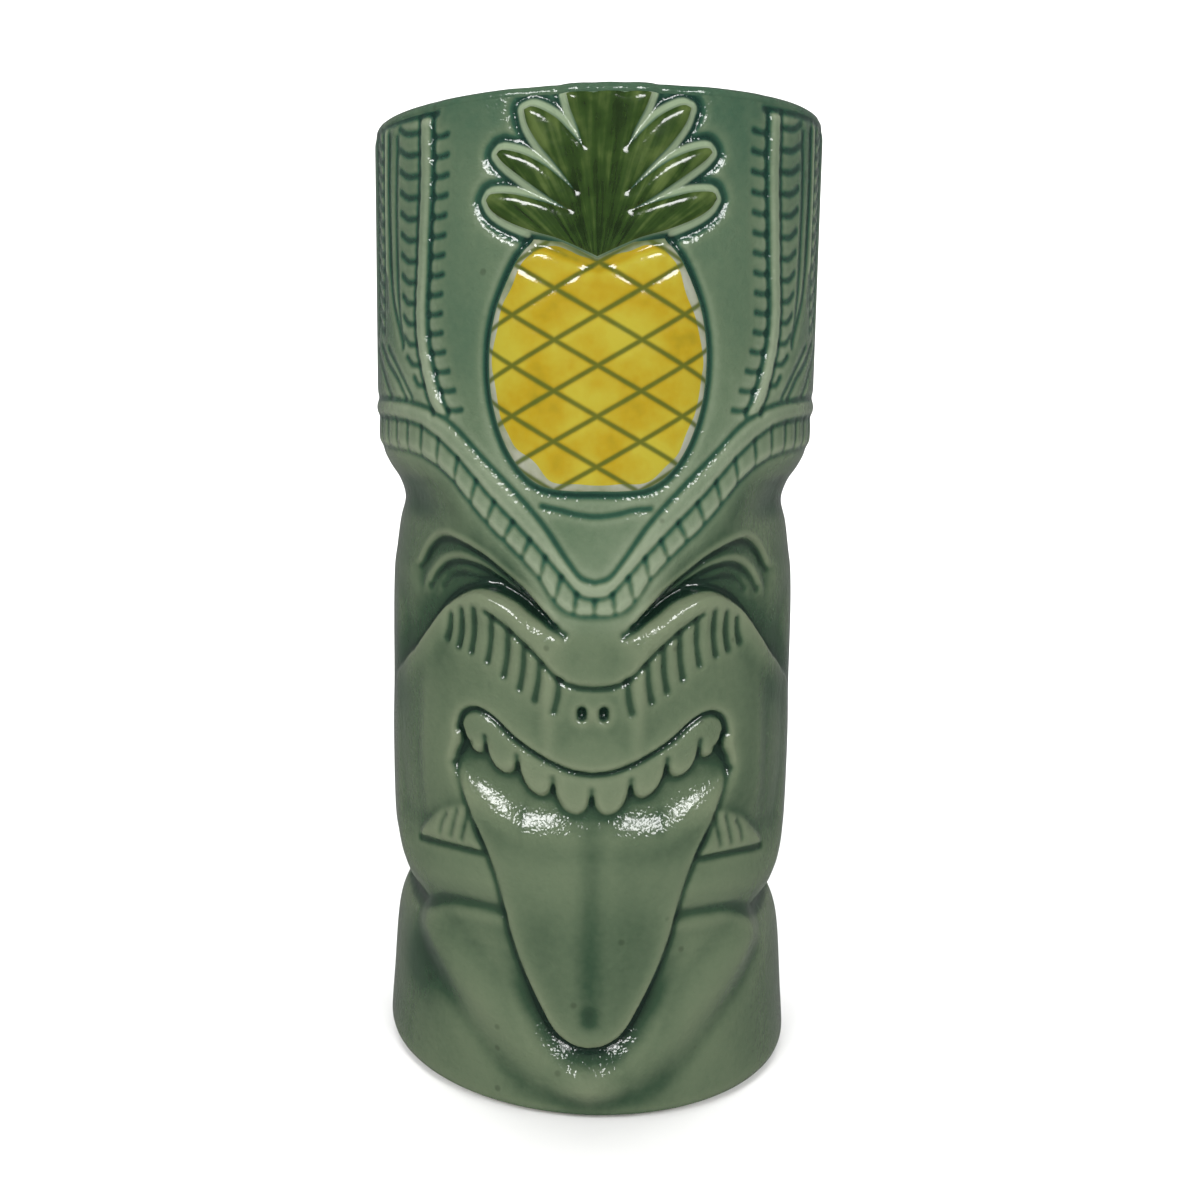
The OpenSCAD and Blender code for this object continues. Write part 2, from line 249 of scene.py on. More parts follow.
HEM_LOW = smooth_line([(0, 88.3), (3.7, 88.6), (6.5, 90.6), (9.1, 94.2), (13.4, 98.5), (17.4, 101.8),
                       (21, 105.2), (25.9, 109.6), (30.6, 112.1), (36, 113.5), (44, HEM_Z), (60, HEM_Z),
                       (76, HEM_Z)])
MUZZLE_TOP = smooth_line([(5, 84.6), (9.6, 87.2), (14.4, 90), (19.7, 91.2), (24, 90.4), (29, 87.8),
                          (34, 83.2), (39, 79), (45, 75), (51.5, 70), (56, 62)])
NOSE_LOW = smooth_line([(0, 76), (3, 76.3), (6, 77.6), (10, 81.4), (15, 85.2), (19, 87.6)])
MOUTH_TOP = smooth_line([(0, 61.2), (4, 61.8), (8.8, 63.7), (13.7, 66.4), (18, 69.5), (21.4, 70.6),
                         (24.2, 69.6), (25.4, 67.2), (25, 65)])
TONGUE = smooth_line([(0, 12.7), (3, 13.3), (6.3, 15.6), (9.1, 20), (12.3, 26.5), (14.4, 32), (15.5, 36),
                      (16.9, 41), (18.9, 46), (21.7, 51), (24.6, 56.5), (26.6, 60.4)])
LIP_RISE = MOUTH_TOP[: int(np.argmax(MOUTH_TOP[:, 0])) + 1]


def height_on(line, side):
    """The height of a guide line at a distance from the middle."""
    return np.interp(side, line[:, 0], line[:, 1])


def above(line, side=SIDE):
    """Distance above a guide line, square to it."""
    slope = (height_on(line, side + 1) - height_on(line, side - 1)) / 2
    lean = 1 / np.sqrt(1 + slope**2)
    return (Z - height_on(line, side)) * lean


# ---------------------------------------------------------------- the figure's large forms


def turn_the_body():
    """The turned body: every place takes the profile's radius at its height."""
    line = smooth_line(PROFILE)
    wall.radius += np.interp(wall.height, line[:, 0], line[:, 1]).astype(np.float32)[:, None]


def fill_the_front():
    """The brow kept full under the V, and the lap under the arms, where the sides are waisted."""
    below = -above(HEM_LOW)
    brow = DRUM_R - 0.75 - 0.1 * np.clip(below, 0, 20)
    weight = (1 - step(SIDE, 22, 44)) * (1 - step(below, 8, 26)) * step(below, -6, -2)
    wall.radius += weight * np.maximum(brow - wall.radius, 0)
    weight = (1 - step(SIDE, 24, 54)) * step(Z, 12, 27) * (1 - step(Z, 38, 50))
    wall.radius += weight * np.maximum(37.6 - wall.radius, 0)


def hang_the_headdress():
    """The drum's cylinder carried down in front to the hem's V, where it drops back to the brow."""
    over = step(above(HEM_LOW), -0.5, 0.5)
    wall.radius += over * (DRUM_R - wall.radius)


def hollow_the_eyes():
    """Sockets between hem and muzzle: deepest along the muzzle's top, shallow at the temples."""
    below = -above(HEM_LOW)
    over = above(MUZZLE_TOP)
    band = step(below, 0, 5) * step(over, -0.5, 0.8) * bell(over, 7.5)
    wall.radius -= 1.2 * band * step(SIDE, 5, 13) * (1 - step(SIDE, 36, 54))


def swell_the_muzzle():
    """Cheeks and upper lip: lifted below the muzzle's top line, with a full roll along that line."""
    under = -above(MUZZLE_TOP)
    front = 1 - step(SIDE, 30, 54)
    lift = step(under, -0.6, 0.9) * step(Z, 44, 58) * step(SIDE, 3, 9)
    wall.radius += lift * front * (0.75 + 0.55 * bell(under - 2.2, 2.6))
    wall.radius += 0.75 * (1 - step(SIDE, 3, 9)) * step(Z, 44, 58) * (1 - step(Z, 82, 92))
    wall.radius += 0.45 * front * bell(Z - 76, 10) * bell(SIDE, 30)
    wall.radius += 0.5 * (1 - step(SIDE, 33, 37.5)) * bell(Z - 62, 13)


def set_the_nose():
    """The bridge between the V's tip and the nostrils: a pad above the U line, level with the lip."""
    over = np.where(SIDE < 19, above(NOSE_LOW), -1)
    wall.radius += 0.3 * step(over, -0.2, 0.5) * (1 - step(SIDE, 4, 14)) * (1 - step(Z, 84, 90))


def fold_the_arms():
    """Upper arms down the sides and forearms round to the belly, as raised rolls."""
    middle = smooth_line([(52, 82), (54, 72), (54, 60), (52, 50), (49, 43), (43, 40), (34, 40.3), (25, 40.8),
                          (14, 41)], 1.0)
    for arm in both(middle):
        place, away = wall.distance([arm], 13)
        roll = 1 - 0.85 * step(SIDE[:, place[1]], 42, 53)
        wall.radius[place] += 1.2 * roll * (1 - step(away, 0, 9)) ** 0.8
    crease = smooth_line([(12, 35.9), (22, 35.8), (29, 34.8), (35, 32.4), (42, 30.9), (50, 30.2),
                          (58, 30)], 1.0)
    wall.groove(both(crease), 0.8, 1.4)
    wall.groove(both(crease + [0, 2.0]), 0.35, 2.0)


def seat_the_legs():
    """Thighs drawn up beside the tongue: a soft lap that runs down to the middle of the base."""
    ridge = smooth_line([(0, 6.5), (5, 8), (12, 12.5), (20, 18.5), (28, 24.5), (34, 29)])
    for line in both(ridge):
        place, away = wall.distance([line], 9)
        wall.radius[place] += 1.1 * (1 - step(away, 0, 7.5)) * step(Z[place[0]], 0, 7)
    place, away = wall.distance(both(ridge + [2.5, -5.0]), 5)
    wall.radius[place] -= 0.35 * bell(away, 3.2) * step(Z[place[0]], 0, 7)


# [height, radius] down the tongue's middle.
TONGUE_FRONT = smooth_line([(0, 37.6), (12.7, 38.6), (20, 38.7), (30, 39.0), (40, 39.3), (47, 39.4),
                            (50, 39.25), (52, 38.6), (54, 37.6), (56.5, 36.9), (60, 36.7), (64, 36.7),
                            (68, 36.7)])


def stick_out_the_tongue():
    """The tongue's own front surface inside its outline, with a shallow channel down its middle. Its
    shoulders, where it bends back into the mouth, stand higher towards the mouth's corners."""
    corner = smooth_line([TONGUE[-1], (26.2, 62.2), (25.3, 64.2), (25.0, 65.8), LIP_RISE[-1]])[1:-1]
    outline = np.vstack([across(TONGUE), corner, LIP_RISE[::-1], mirrored(LIP_RISE), mirrored(corner)[::-1]])
    place, depth_in = wall.inside(outline, 12)
    side = SIDE[:, place[1]]
    z = Z[place[0]]
    shoulder = 0.5 * np.maximum(side - 12, 0)
    front = np.interp(z - shoulder, TONGUE_FRONT[:, 0], TONGUE_FRONT[:, 1])
    crown = 0.5 * (1 - (1 - np.clip(depth_in / 9, 0, 1)) ** 2) - 0.3
    channel = 0.45 * bell(side, 2.6) * step(z, 16, 24) * (1 - step(z, 50, 57))
    over = step(depth_in, -0.8, 0.7)
    wall.radius[place] += over * (front + crown - channel - wall.radius[place])
    place, away = wall.distance([across(TONGUE)], 4)
    wall.radius[place] -= 0.55 * bell(away + 0.2, 0.9)
    place, depth_in = wall.inside(outline, 6)
    beside = (1 - step(-depth_in, 0, 5)) * (depth_in < 0)
    wall.radius[place] -= 1.3 * beside * (1 - step(Z[place[0]], 18, 30))
    place, away = wall.distance([np.array([(0, 18.2), (0, 19.0)])], 5)
    wall.radius[place] -= 0.6 * bell(away, 1.9)


def open_the_mouth():
    """A gum band under the lip line whose lower edge is cut into eight scalloped teeth."""
    edges = [0.0, 6.8, 13.3, 19.7, 24.6]
    notch = [57.4, 59.2, 62.4, 64.8, 66.6]
    low = [54.6, 57.5, 60.6, 63.2]
    arcs = []
    for k in range(4):
        t = np.linspace(-1, 1, 15)
        base = notch[k] + (notch[k + 1] - notch[k]) * (t + 1) / 2
        sag = (notch[k] + notch[k + 1]) / 2 - low[k]
        across_tooth = edges[k] + (edges[k + 1] - edges[k]) * (t + 1) / 2
        arcs.append(np.column_stack([across_tooth, base - sag * (1 - np.abs(t) ** 2.6)]))
    half_edge = np.vstack(arcs)
    outline = np.vstack([mirrored(half_edge)[::-1], half_edge, LIP_RISE[::-1], mirrored(LIP_RISE)])
    place, depth_in = wall.inside(outline, 4)
    side = SIDE[:, place[1]]
    gum = np.interp(side, [0, 10, 20, 27], [38.55, 38.5, 38.35, 38.1])
    dome = 0.3 * (1 - (1 - np.clip(depth_in / 2.5, 0, 1)) ** 2) - 0.3
    over = step(depth_in, -0.55, 0.45)
    wall.radius[place] += over * (gum + dome - wall.radius[place])
    gaps = [np.array([(e, n - 0.6), (e, n + 1.3)]) for e, n in zip(edges[:-1], notch)]
    wall.groove(both(*gaps), 0.45, 0.6)
    corner = smooth_line([(25.3, 66.9), (24.7, 65.2), (22.8, 64.4)])
    wall.groove(both(corner), 0.5, 0.6)
    wall.groove([across(LIP_RISE)], 0.38, 0.65)


def rest_the_hands():
    """Hands under the cheeks: a raised wedge on a straight base, cut into fingers."""
    outline = smooth_line([(20, 45.8), (27, 45.7), (33, 45.2), (36.0, 45.0), (35.4, 46.8), (33, 49.0),
                           (29.8, 51.2), (26, 53.0), (22.5, 54.0)])
    for hand in both(outline):
        wall.raise_form(hand, 0.35, 1.8, 0.55, 3.0)
    tops = [(24.4, 53.2), (27, 52.2), (29.8, 50.9)]
    fingers = [smooth_line([(s, 47.4), (s - 0.6, 49.5), (s - 1.6, top)]) for s, top in tops]
    wall.groove(both(*fingers), 0.42, 0.6)
    wall.groove(both(smooth_line([(20, 45.7), (27, 45.4), (33, 44.8), (36.4, 44.4)])), 0.5, 0.6)


# ---------------------------------------------------------------- the carved lines


def terrace(line, drop, fade, ends):
    """A fold: the surface steps down just below the line and comes back over a distance."""
    below = -above(line)
    near, far = ends
    reach = step(SIDE, near, near + 3) * (1 - step(SIDE, far - 6, far))
    wall.radius -= drop * step(below, -0.35, 0.35) * (1 - step(below, 0.6, fade)) * reach


def crease_the_brow():
    """Long folds that sweep from the nose out over each eye, and the deep line over the muzzle."""
    upper = smooth_line([(6.7, 86.4), (9.1, 88.6), (12, 91.2), (16, 94), (20, 96.6), (24.3, 98.3),
                         (28.5, 99.0), (32.5, 98.4), (36, 96.4), (38.6, 93.4)])
    second = smooth_line([(8.6, 87.6), (12, 89.9), (16, 92.1), (20, 94.2), (24, 95.2), (27.5, 95.2),
                          (31, 94.2), (33.4, 92.4), (35, 90.2)])
    third = smooth_line([(17, 92.4), (20.5, 92.9), (24, 93.3), (27, 93.2), (29.8, 92.3), (31.4, 90.6)])
    terrace(upper, 0.75, 4.5, (5, 42))
    terrace(second, 0.6, 3.2, (9, 36))
    terrace(third, 0.35, 2.6, (16, 33))
    wall.groove(both(upper), 0.45, 0.6)
    wall.groove(both(second), 0.45, 0.6)
    wall.groove(both(third), 0.35, 0.6)
    wall.groove(both(MUZZLE_TOP[MUZZLE_TOP[:, 0] < 40] + [0, 0.3]), 0.5, 0.75)
    wall.ridge(both(upper + [0, 1.0]), 0.22, 0.6)
    wall.ridge(both(second + [0, 1.0]), 0.22, 0.6)


def comb_the_moustache():
    """Short hanging strokes under the U line of the nose."""
    wall.groove([across(NOSE_LOW)], 0.65, 0.5)
    hairs = [(5.7, 77.2, 72.0), (9.0, 79.5, 73.8), (11.8, 82.0, 75.4), (14.8, 84.4, 77.2),
             (18.0, 86.4, 79.3), (21.5, 87.8, 80.6), (24.3, 87.4, 81.2), (27.0, 86.2, 82.2)]
    strokes = [smooth_line([(s, top), (s + 0.25, (top + end) / 2), (s + 0.9, end)])
               for s, top, end in hairs]
    wall.groove(both(*strokes), 0.6, 0.7)
    for spot in both(np.array([(1.85, 71.3), (1.85, 72.1)])):
        wall.ridge([spot], 0.4, 1.7)
        wall.groove([spot], 1.9, 0.75)


def carve_the_band():
    """The raised band of the V, the lines on both sides of it, and the hem cut into tabs."""
    over_top, over_low, over_hem = above(BAND_TOP), above(BAND_LOW), above(HEM_LOW)
    wall.radius += 0.15 * step(-over_top, -0.3, 0.6) * step(over_low, -0.3, 0.6)
    wall.radius -= 0.25 * step(-over_low, -0.3, 0.5) * step(over_hem, -1.5, 0)
    wall.radius -= 0.5 * bell(over_top, 0.5) + 0.45 * bell(over_low, 0.45)
    ends = [(0, 0), (3.3, 2.9), (6.4, 5.4), (8.9, 8.1), (12.0, 10.7), (15.2, 13.6), (18.4, 17.0),
            (21.6, 20.4), (25.1, 24.2), (29.2, 28.6), (33.4, 33.0), (37.6, 37.4), (41.8, 41.7)]
    ends += [(s, s) for s in np.arange(46.2, HALF_ROUND - 2, 4.6)]
    cuts = []
    for foot, head in ends:
        low, high = height_on(HEM_LOW, foot) + 0.2, height_on(BAND_LOW, head) - 0.2
        cuts.append(np.array([(foot, low), (head, high)]))
    wall.groove(both(*cuts), 0.42, 0.45)


STRIP_IN = smooth_line([(26.2, 120), (28.2, 124), (29.6, 128), (30.6, 132), (30.9, 137), (30.4, 143),
                        (29.9, 150), (29.3, 158), (29.2, 167.3)])
STRIP_OUT = STRIP_IN + [3.3, 0]


def carve_the_panels():
    """Beside the pineapple: a plain strip with a fringe of short lines inside and rungs outside it,
    then upright strips, a rope, and slanted lines down at the band."""
    strip = np.vstack([STRIP_IN, STRIP_OUT[::-1]])
    for form in both(strip):
        wall.raise_form(form, 0.35, 0.9)
    wall.groove(both(STRIP_IN), 0.65, 0.55)
    wall.groove(both(STRIP_OUT), 0.6, 0.5)
    fringe, rungs = [], []
    for z in np.arange(120.6, 166, 3.1):
        s = np.interp(z, STRIP_IN[:, 1], STRIP_IN[:, 0])
        fringe.append(np.array([(s - 0.2, z), (s - 2.0, z - 0.1), (s - 3.4, z + 0.1)]))
    for z in np.arange(124.5, 165.5, 3.4):
        s = np.interp(z, STRIP_OUT[:, 1], STRIP_OUT[:, 0])
        far = np.interp(z, [124, 131, 140, 166], [s + 3.5, 38.6, 39.0, 39.8])
        rungs.append(smooth_line([(s + 0.3, z), ((s + far) / 2, z + 0.2), (far - 0.9, z + 1.4)]))
    wall.groove(both(*fringe), 0.5, 0.45)
    wall.groove(both(*rungs), 0.5, 0.5)
    edges = [
        smooth_line([(38.2, 131), (39.6, 137), (40.2, 146), (40.3, 156), (39.6, 165.4)]),
        smooth_line([(43.0, 166.5), (43.4, 158), (43.2, 150), (42.2, 140), (38.4, 131.4)]),
        smooth_line([(45.6, 167), (46.0, 156), (45.8, 146), (45.2, 138)]),
        smooth_line([(48.5, 131.5), (45, 128.6), (40.5, 125.6), (37.5, 122.4)]),
        smooth_line([(44.5, 131), (41.6, 128.6), (38.2, 125.4), (35.5, 122.6)]),
        smooth_line([(53, 131), (48, 127), (43.5, 122.6)]),
    ]
    wall.groove(both(*edges), 0.5, 0.5)
    wall.ridge(both(smooth_line([(44.4, 167), (44.8, 156), (44.6, 144)])), 0.35, 0.7)
    rope = [smooth_line([(47.3, z), (49.0, z + 0.6), (50.8, z + 2.2)]) for z in np.arange(134, 165.5, 2.6)]
    wall.groove(both(*rope), 0.5, 0.55)
    wall.groove(both(*(np.array([(s, 133.5), (s, 167)]) for s in (46.8, 51.6))), 0.45, 0.5)
    under_lip = smooth_line([(28.0, 167.6), (34, 167.8), (42, 168.1), (52, 168.3), (60, 168.3), (90, 168.3),
                             (125.6, 168.3)])
    wall.groove(both(under_lip), 0.5, 0.5)


def carve_the_back():
    """Upright staves across the back of the drum, each with a line of its own, and the plain back
    below, with a soft line down each side and one down the middle."""
    lines = []
    staves = np.linspace(BACK_FROM, HALF_ROUND, 9)
    for s in staves:
        lines.append(smooth_line([(s, 123.4), (s + 0.3, 138), (s - 0.3, 154), (s, 167.6)]))
    wall.groove(both(*lines), 0.6, 0.6)
    for s in staves[:-1] + (HALF_ROUND - BACK_FROM) / 16:
        wall.groove(both(np.array([(s, 128), (s, 163)])), 0.3, 0.5)
    wall.groove(both(smooth_line([(66, 96), (68, 84), (68, 68), (66, 52), (60, 42)])), 0.5, 1.3)
    spine = np.array([(HALF_ROUND, 44), (HALF_ROUND, 98)])
    wall.groove([spine, spine * [-1, 1]], 0.6, 2.2)


# ---------------------------------------------------------------- the pineapple

LEAN_FOOT = np.array([-0.3, 144.0])
LEAN = 0.06
# Each leaf's lower edge out to its tip, then its upper edge back in to the next leaf's root.
LEAF_EDGES = [
    [(0, 144.2), (3.6, 145.9), (6.5, 147.1), (10.5, 148.3), (14.5, 149.9), (17.2, 151.6), (18.3, 153.2)],
    [(18.3, 153.2), (17.4, 154.1), (14, 153.9), (10.5, 153.0), (7.3, 152.0), (4.65, 151.2)],
    [(4.65, 151.2), (6.5, 152.2), (9.5, 154.2), (12.8, 156.5), (15.6, 158.6), (16.9, 160.0)],
    [(16.9, 160.0), (15.9, 160.6), (12.5, 159.7), (9.2, 158.0), (6.3, 155.8), (4.0, 153.9)],
    [(4.0, 153.9), (5.6, 156.0), (7.8, 158.6), (10, 161.0), (12, 163.9), (12.8, 166.3)],
    [(12.8, 166.3), (11.2, 166.6), (8, 165.0), (5.6, 162.8), (3.35, 160.4)],
    [(3.35, 160.4), (4.2, 163), (5.6, 166), (6.4, 168.3)],
]
CROWN_HALF = np.vstack([smooth_line(edge)[:-1] for edge in LEAF_EDGES] + [LEAF_EDGES[-1][-1:]])
CROWN_TOP = [(4.3, 168.7), (2.3, 168.2), (0, 168.9), (-2.3, 168.2), (-4.3, 168.7)]
CROWN = np.vstack([across(CROWN_HALF), CROWN_TOP])
CROWN[:, 0] += LEAN_FOOT[0] + LEAN * (CROWN[:, 1] - LEAN_FOOT[1])
FRUIT_HALF = smooth_line([(0, 107.8), (4, 107.8), (8, 108.3), (11.2, 110), (14.3, 113.7), (16.5, 118.5),
                          (17.8, 124), (18.0, 130), (17.1, 135.5), (15.5, 139.7), (13.2, 144), (10.4, 147.4)])
FRUIT = np.vstack([across(FRUIT_HALF), [(0, 146)]])
DIAMOND_W = 13.4
DIAMOND_H = 7.85
LATTICE_Z = 127.7


def lattice():
    """Distance to the fruit's two families of slanted lines, over the whole wall."""
    length = math.hypot(DIAMOND_W, DIAMOND_H)
    away = []
    for side in (-1, 1):
        turns = side * S / DIAMOND_W + (Z - LATTICE_Z) / DIAMOND_H
        away.append(np.abs(turns - np.round(turns)) * DIAMOND_W * DIAMOND_H / length)
    return np.minimum(*away)


def model_the_pineapple():
    """A domed fruit cut by its lattice inside a groove, and leaves that roll over into theirs.

    Gives back where each paint lies (leaf, fruit, scale), where the lines and the leaves' pale margin
    run, and each place's direction and distance from the leaves' foot (fan, reach)."""
    names = ("leaf", "fruit", "scale", "line", "margin", "fan", "reach")
    masks = {name: np.zeros_like(wall.radius) for name in names}
    place, leaf_in = wall.inside(CROWN, 5)
    shade = np.full_like(wall.radius, -5.0)
    shade[place] = leaf_in
    place, into = wall.inside(FRUIT, 5)
    fruit_share = np.zeros_like(wall.radius)
    fruit_share[place] = step(into, -0.9, 0.1)
    paint = np.minimum(into - 1.05, -shade[place] - 0.45)
    into = np.minimum(into - 0.35, -shade[place] - 0.3)
    away = lattice()[place]
    wall.radius[place] += 0.4 * step(into, -0.6, 1.2) + 0.3 * (1 - (1 - np.clip(into / 4.5, 0, 1)) ** 2)
    wall.radius[place] -= 0.55 * bell(into + 0.7, 0.55) * step(-shade[place], 0.2, 1.2)
    wall.radius[place] -= 0.22 * bell(away, 0.5) * step(into, 0.2, 1.0)
    masks["fruit"][place] = step(into, -0.2, 0.2)
    wander = 0.35 * np.sin(S[:, place[1]] * 0.9 + 1.3) * np.sin(Z[place[0]] * 0.55)
    missed = 2.6 * bell(S[:, place[1]] + 11.5, 3.2) * bell(Z[place[0]] - 110.8, 3.2)
    missed = missed + 0.8 * bell(S[:, place[1]] - 15, 3) * bell(Z[place[0]] - 137.5, 6)
    masks["scale"][place] = step(paint - wander - missed, 0.0, 0.5)
    masks["line"][place] = (1 - step(away, 0.15, 0.6)) * (shade[place] < -0.5)
    masks["line"][place] = np.maximum(masks["line"][place], 0.8 * bell(shade[place] + 0.5, 0.55))
    place, into = wall.inside(CROWN, 5)
    round_over = 1 - (1 - np.clip((into + 0.7) / 1.9, 0, 1)) ** 2
    wall.radius[place] += 0.95 * round_over - 0.5 * bell(into + 1.8, 0.75)
    masks["leaf"][place] = step(into, -0.12, 0.18)
    masks["margin"][place] = bell(into + 0.7, 0.6) * (1 - fruit_share[place])
    from_foot = S[:, place[1]] + 0.3, Z[place[0]] - 141
    masks["fan"][place] = np.arctan2(*from_foot)
    masks["reach"][place] = np.hypot(*from_foot)
    under_fruit = smooth_line([(-8.6, 105.6), (-6, 105.1), (-3, 104.4), (0, 104.1), (3, 104.4), (6, 105.1),
                               (8.8, 105.3)])
    wall.groove([under_fruit], 0.5, 0.5)
    return masks


# ---------------------------------------------------------------- the carving, in its order

turn_the_body()
fill_the_front()
hang_the_headdress()
hollow_the_eyes()
swell_the_muzzle()
set_the_nose()
fold_the_arms()
seat_the_legs()
stick_out_the_tongue()
open_the_mouth()
rest_the_hands()
crease_the_brow()
comb_the_moustache()
carve_the_band()
carve_the_panels()
carve_the_back()
PAINT = model_the_pineapple()
# The wall turns in a little at its bottom edge.
wall.radius -= 0.5 * bell(Z - 0.6, 0.8)

# ---------------------------------------------------------------- the glaze over the carving


def flood_with_glaze(clay):
    """The glaze's own surface: the carving with its edges softened, more so on the headdress."""
    filled = step(above(HEM_LOW), -3, 0) * (1 - (1 - step(SIDE, 19, 23)) * step(Z, 136, 142))
    surface = wall.soften(clay, 0.42)
    surface += filled * (wall.soften(clay, 0.75) - surface)
    return surface


def paint_shade_and_light():
    """Painted shade and painted light: how much darker, or below 0 paler, each region is than the carving's
    depth makes it, standing in for how the lamps fall on temples, sockets, cheek, tongue, drum sides, hands
    and knees; also a darker patch left of the base.
    """
    # Painted shade for how the lamps fall: the temples, the roll over the muzzle, the sockets (more in the
    # right one) and the right cheek.
    temples = 0.08 * step(SIDE, 22, 50)
    over_muzzle = 0.14 * bell(above(MUZZLE_TOP) - 2, 7) * step(SIDE, 8, 14)
    in_socket = step(-above(HEM_LOW), 0, 5) * step(above(MUZZLE_TOP), -1, 2)
    right_eye = 0.1 * step(S, 14, 24) * (1 - step(S, 24, 32))
    sockets = in_socket * (0.1 * step(SIDE, 6, 16) - 0.06 * step(SIDE, 24, 32) + right_eye)
    right_cheek = 0.08 * step(S, 16, 30) * step(Z, 40, 56) * (1 - step(Z, 70, 84))
    # Painted shade on the upper tongue at heights 44 to 50 and down the middle of its lower part; painted
    # light from 51 up, under the teeth.
    shoulders = (0.14 * step(Z, 44, 50) - 0.24 * step(Z, 51, 56)) * (1 - step(Z, 57, 66))
    tongue = shoulders * (1 - step(SIDE, 20, 26)) + 0.12 * (1 - step(SIDE, 12, 20)) * (1 - step(Z, 32, 44))
    # Painted shade on the drum's sides; painted light on the hands.
    drum_sides = 0.14 * step(SIDE, 40, 58) * step(Z, 110, 122)
    hands = 0.16 * bell(SIDE - 29, 6) * bell(Z - 48.5, 4)
    # A darker patch left of the base, beside the leg; painted light on the knees.
    left_dark_patch = 0.35 * bell(S + 37, 8) * bell(Z - 21, 7)
    knees = 0.05 * bell(SIDE - 20, 9) * bell(Z - 14, 9)
    face = temples + over_muzzle + sockets + right_cheek + tongue
    return face + (drum_sides - hands) + (left_dark_patch - knees)


CLAY = wall.radius
SURFACE = flood_with_glaze(CLAY)
SLOPE_Z, SLOPE_S = np.gradient(SURFACE, wall.pitch_z, wall.pitch_s)
# What the finishes read: how deep a line lies under its edges, how low a place lies in its wider
# surroundings, how much of the headdress's own green it takes, the painted shade and light, and the paints'
# masks.
FIELDS = {
    "pool": wall.soften(CLAY, 1.1) - wall.soften(CLAY, 0.3),
    "wide": wall.soften(wall.soften(SURFACE, 2.2), 2.2) - SURFACE,
    "drum": step(above(HEM_LOW), -5, 1) * (1 - 0.35 * step(SIDE, 20, 38) * (1 - step(Z, 116, 128))),
    "shade": paint_shade_and_light(),
} | {name: PAINT[name] for name in ("line", "margin", "fan", "reach")}

# ---------------------------------------------------------------- tiles of the wall


def hollow_radius(z):
    """Radius of the cup's hollow: the narrowest wall within reach, less the wall's thickness."""
    line = smooth_line(PROFILE)
    reach = np.stack([np.interp(z + d, line[:, 0], line[:, 1]) for d in range(-6, 7, 2)])
    return reach.min(0) - WALL_W


def make_mesh(name, points, faces, normals=None):
    """A mesh object from points in millimetres and a list of faces, smooth all over."""
    mesh = bpy.data.meshes.new(name)
    mesh.from_pydata((np.asarray(points) * MM).tolist(), [], faces)
    mesh.polygons.foreach_set("use_smooth", np.ones(len(mesh.polygons), bool))
    mesh.update()
    if normals is not None:
        mesh.normals_split_custom_set_from_vertices(normals.tolist())
    piece = bpy.data.objects.new(name, mesh)
    bpy.context.scene.collection.objects.link(piece)
    return piece


def faces_of(*corners):
    """Faces from equal arrays of corner numbers, three or four to a face."""
    return np.stack([np.ravel(c) for c in corners], 1).tolist()


def spaced(line, count):
    """The line's points at equal steps along its length."""
    line = np.array(line, float)
    run = np.concatenate([[0], np.cumsum(np.hypot(*np.diff(line, axis=0).T))])
    t = np.linspace(0, run[-1], count)
    return np.column_stack([np.interp(t, run, line[:, 0]), np.interp(t, run, line[:, 1])])


def patch(low, high, left, right, rows, columns):
    """Places filling four edge lines: the two straight mixes of opposite edges, added, less the
    mix of the four corners."""
    low, high = spaced(low, columns)[None], spaced(high, columns)[None]
    left, right = spaced(left, rows)[:, None], spaced(right, rows)[:, None]
    u = np.linspace(0, 1, columns)[None, :, None]
    v = np.linspace(0, 1, rows)[:, None, None]
    low_ends, high_ends = (line[:, :1] * (1 - u) + line[:, -1:] * u for line in (low, high))
    corners = low_ends * (1 - v) + high_ends * v
    both_ways = low * (1 - v) + high * v + left * (1 - u) + right * u - corners
    return both_ways[..., 0], both_ways[..., 1]


def on_wall(s, z, r):
    """The points that stand at arc s, height z and radius r."""
    a = s / DRUM_R
    return np.stack([r * np.sin(a), -r * np.cos(a), z], -1).reshape(-1, 3)


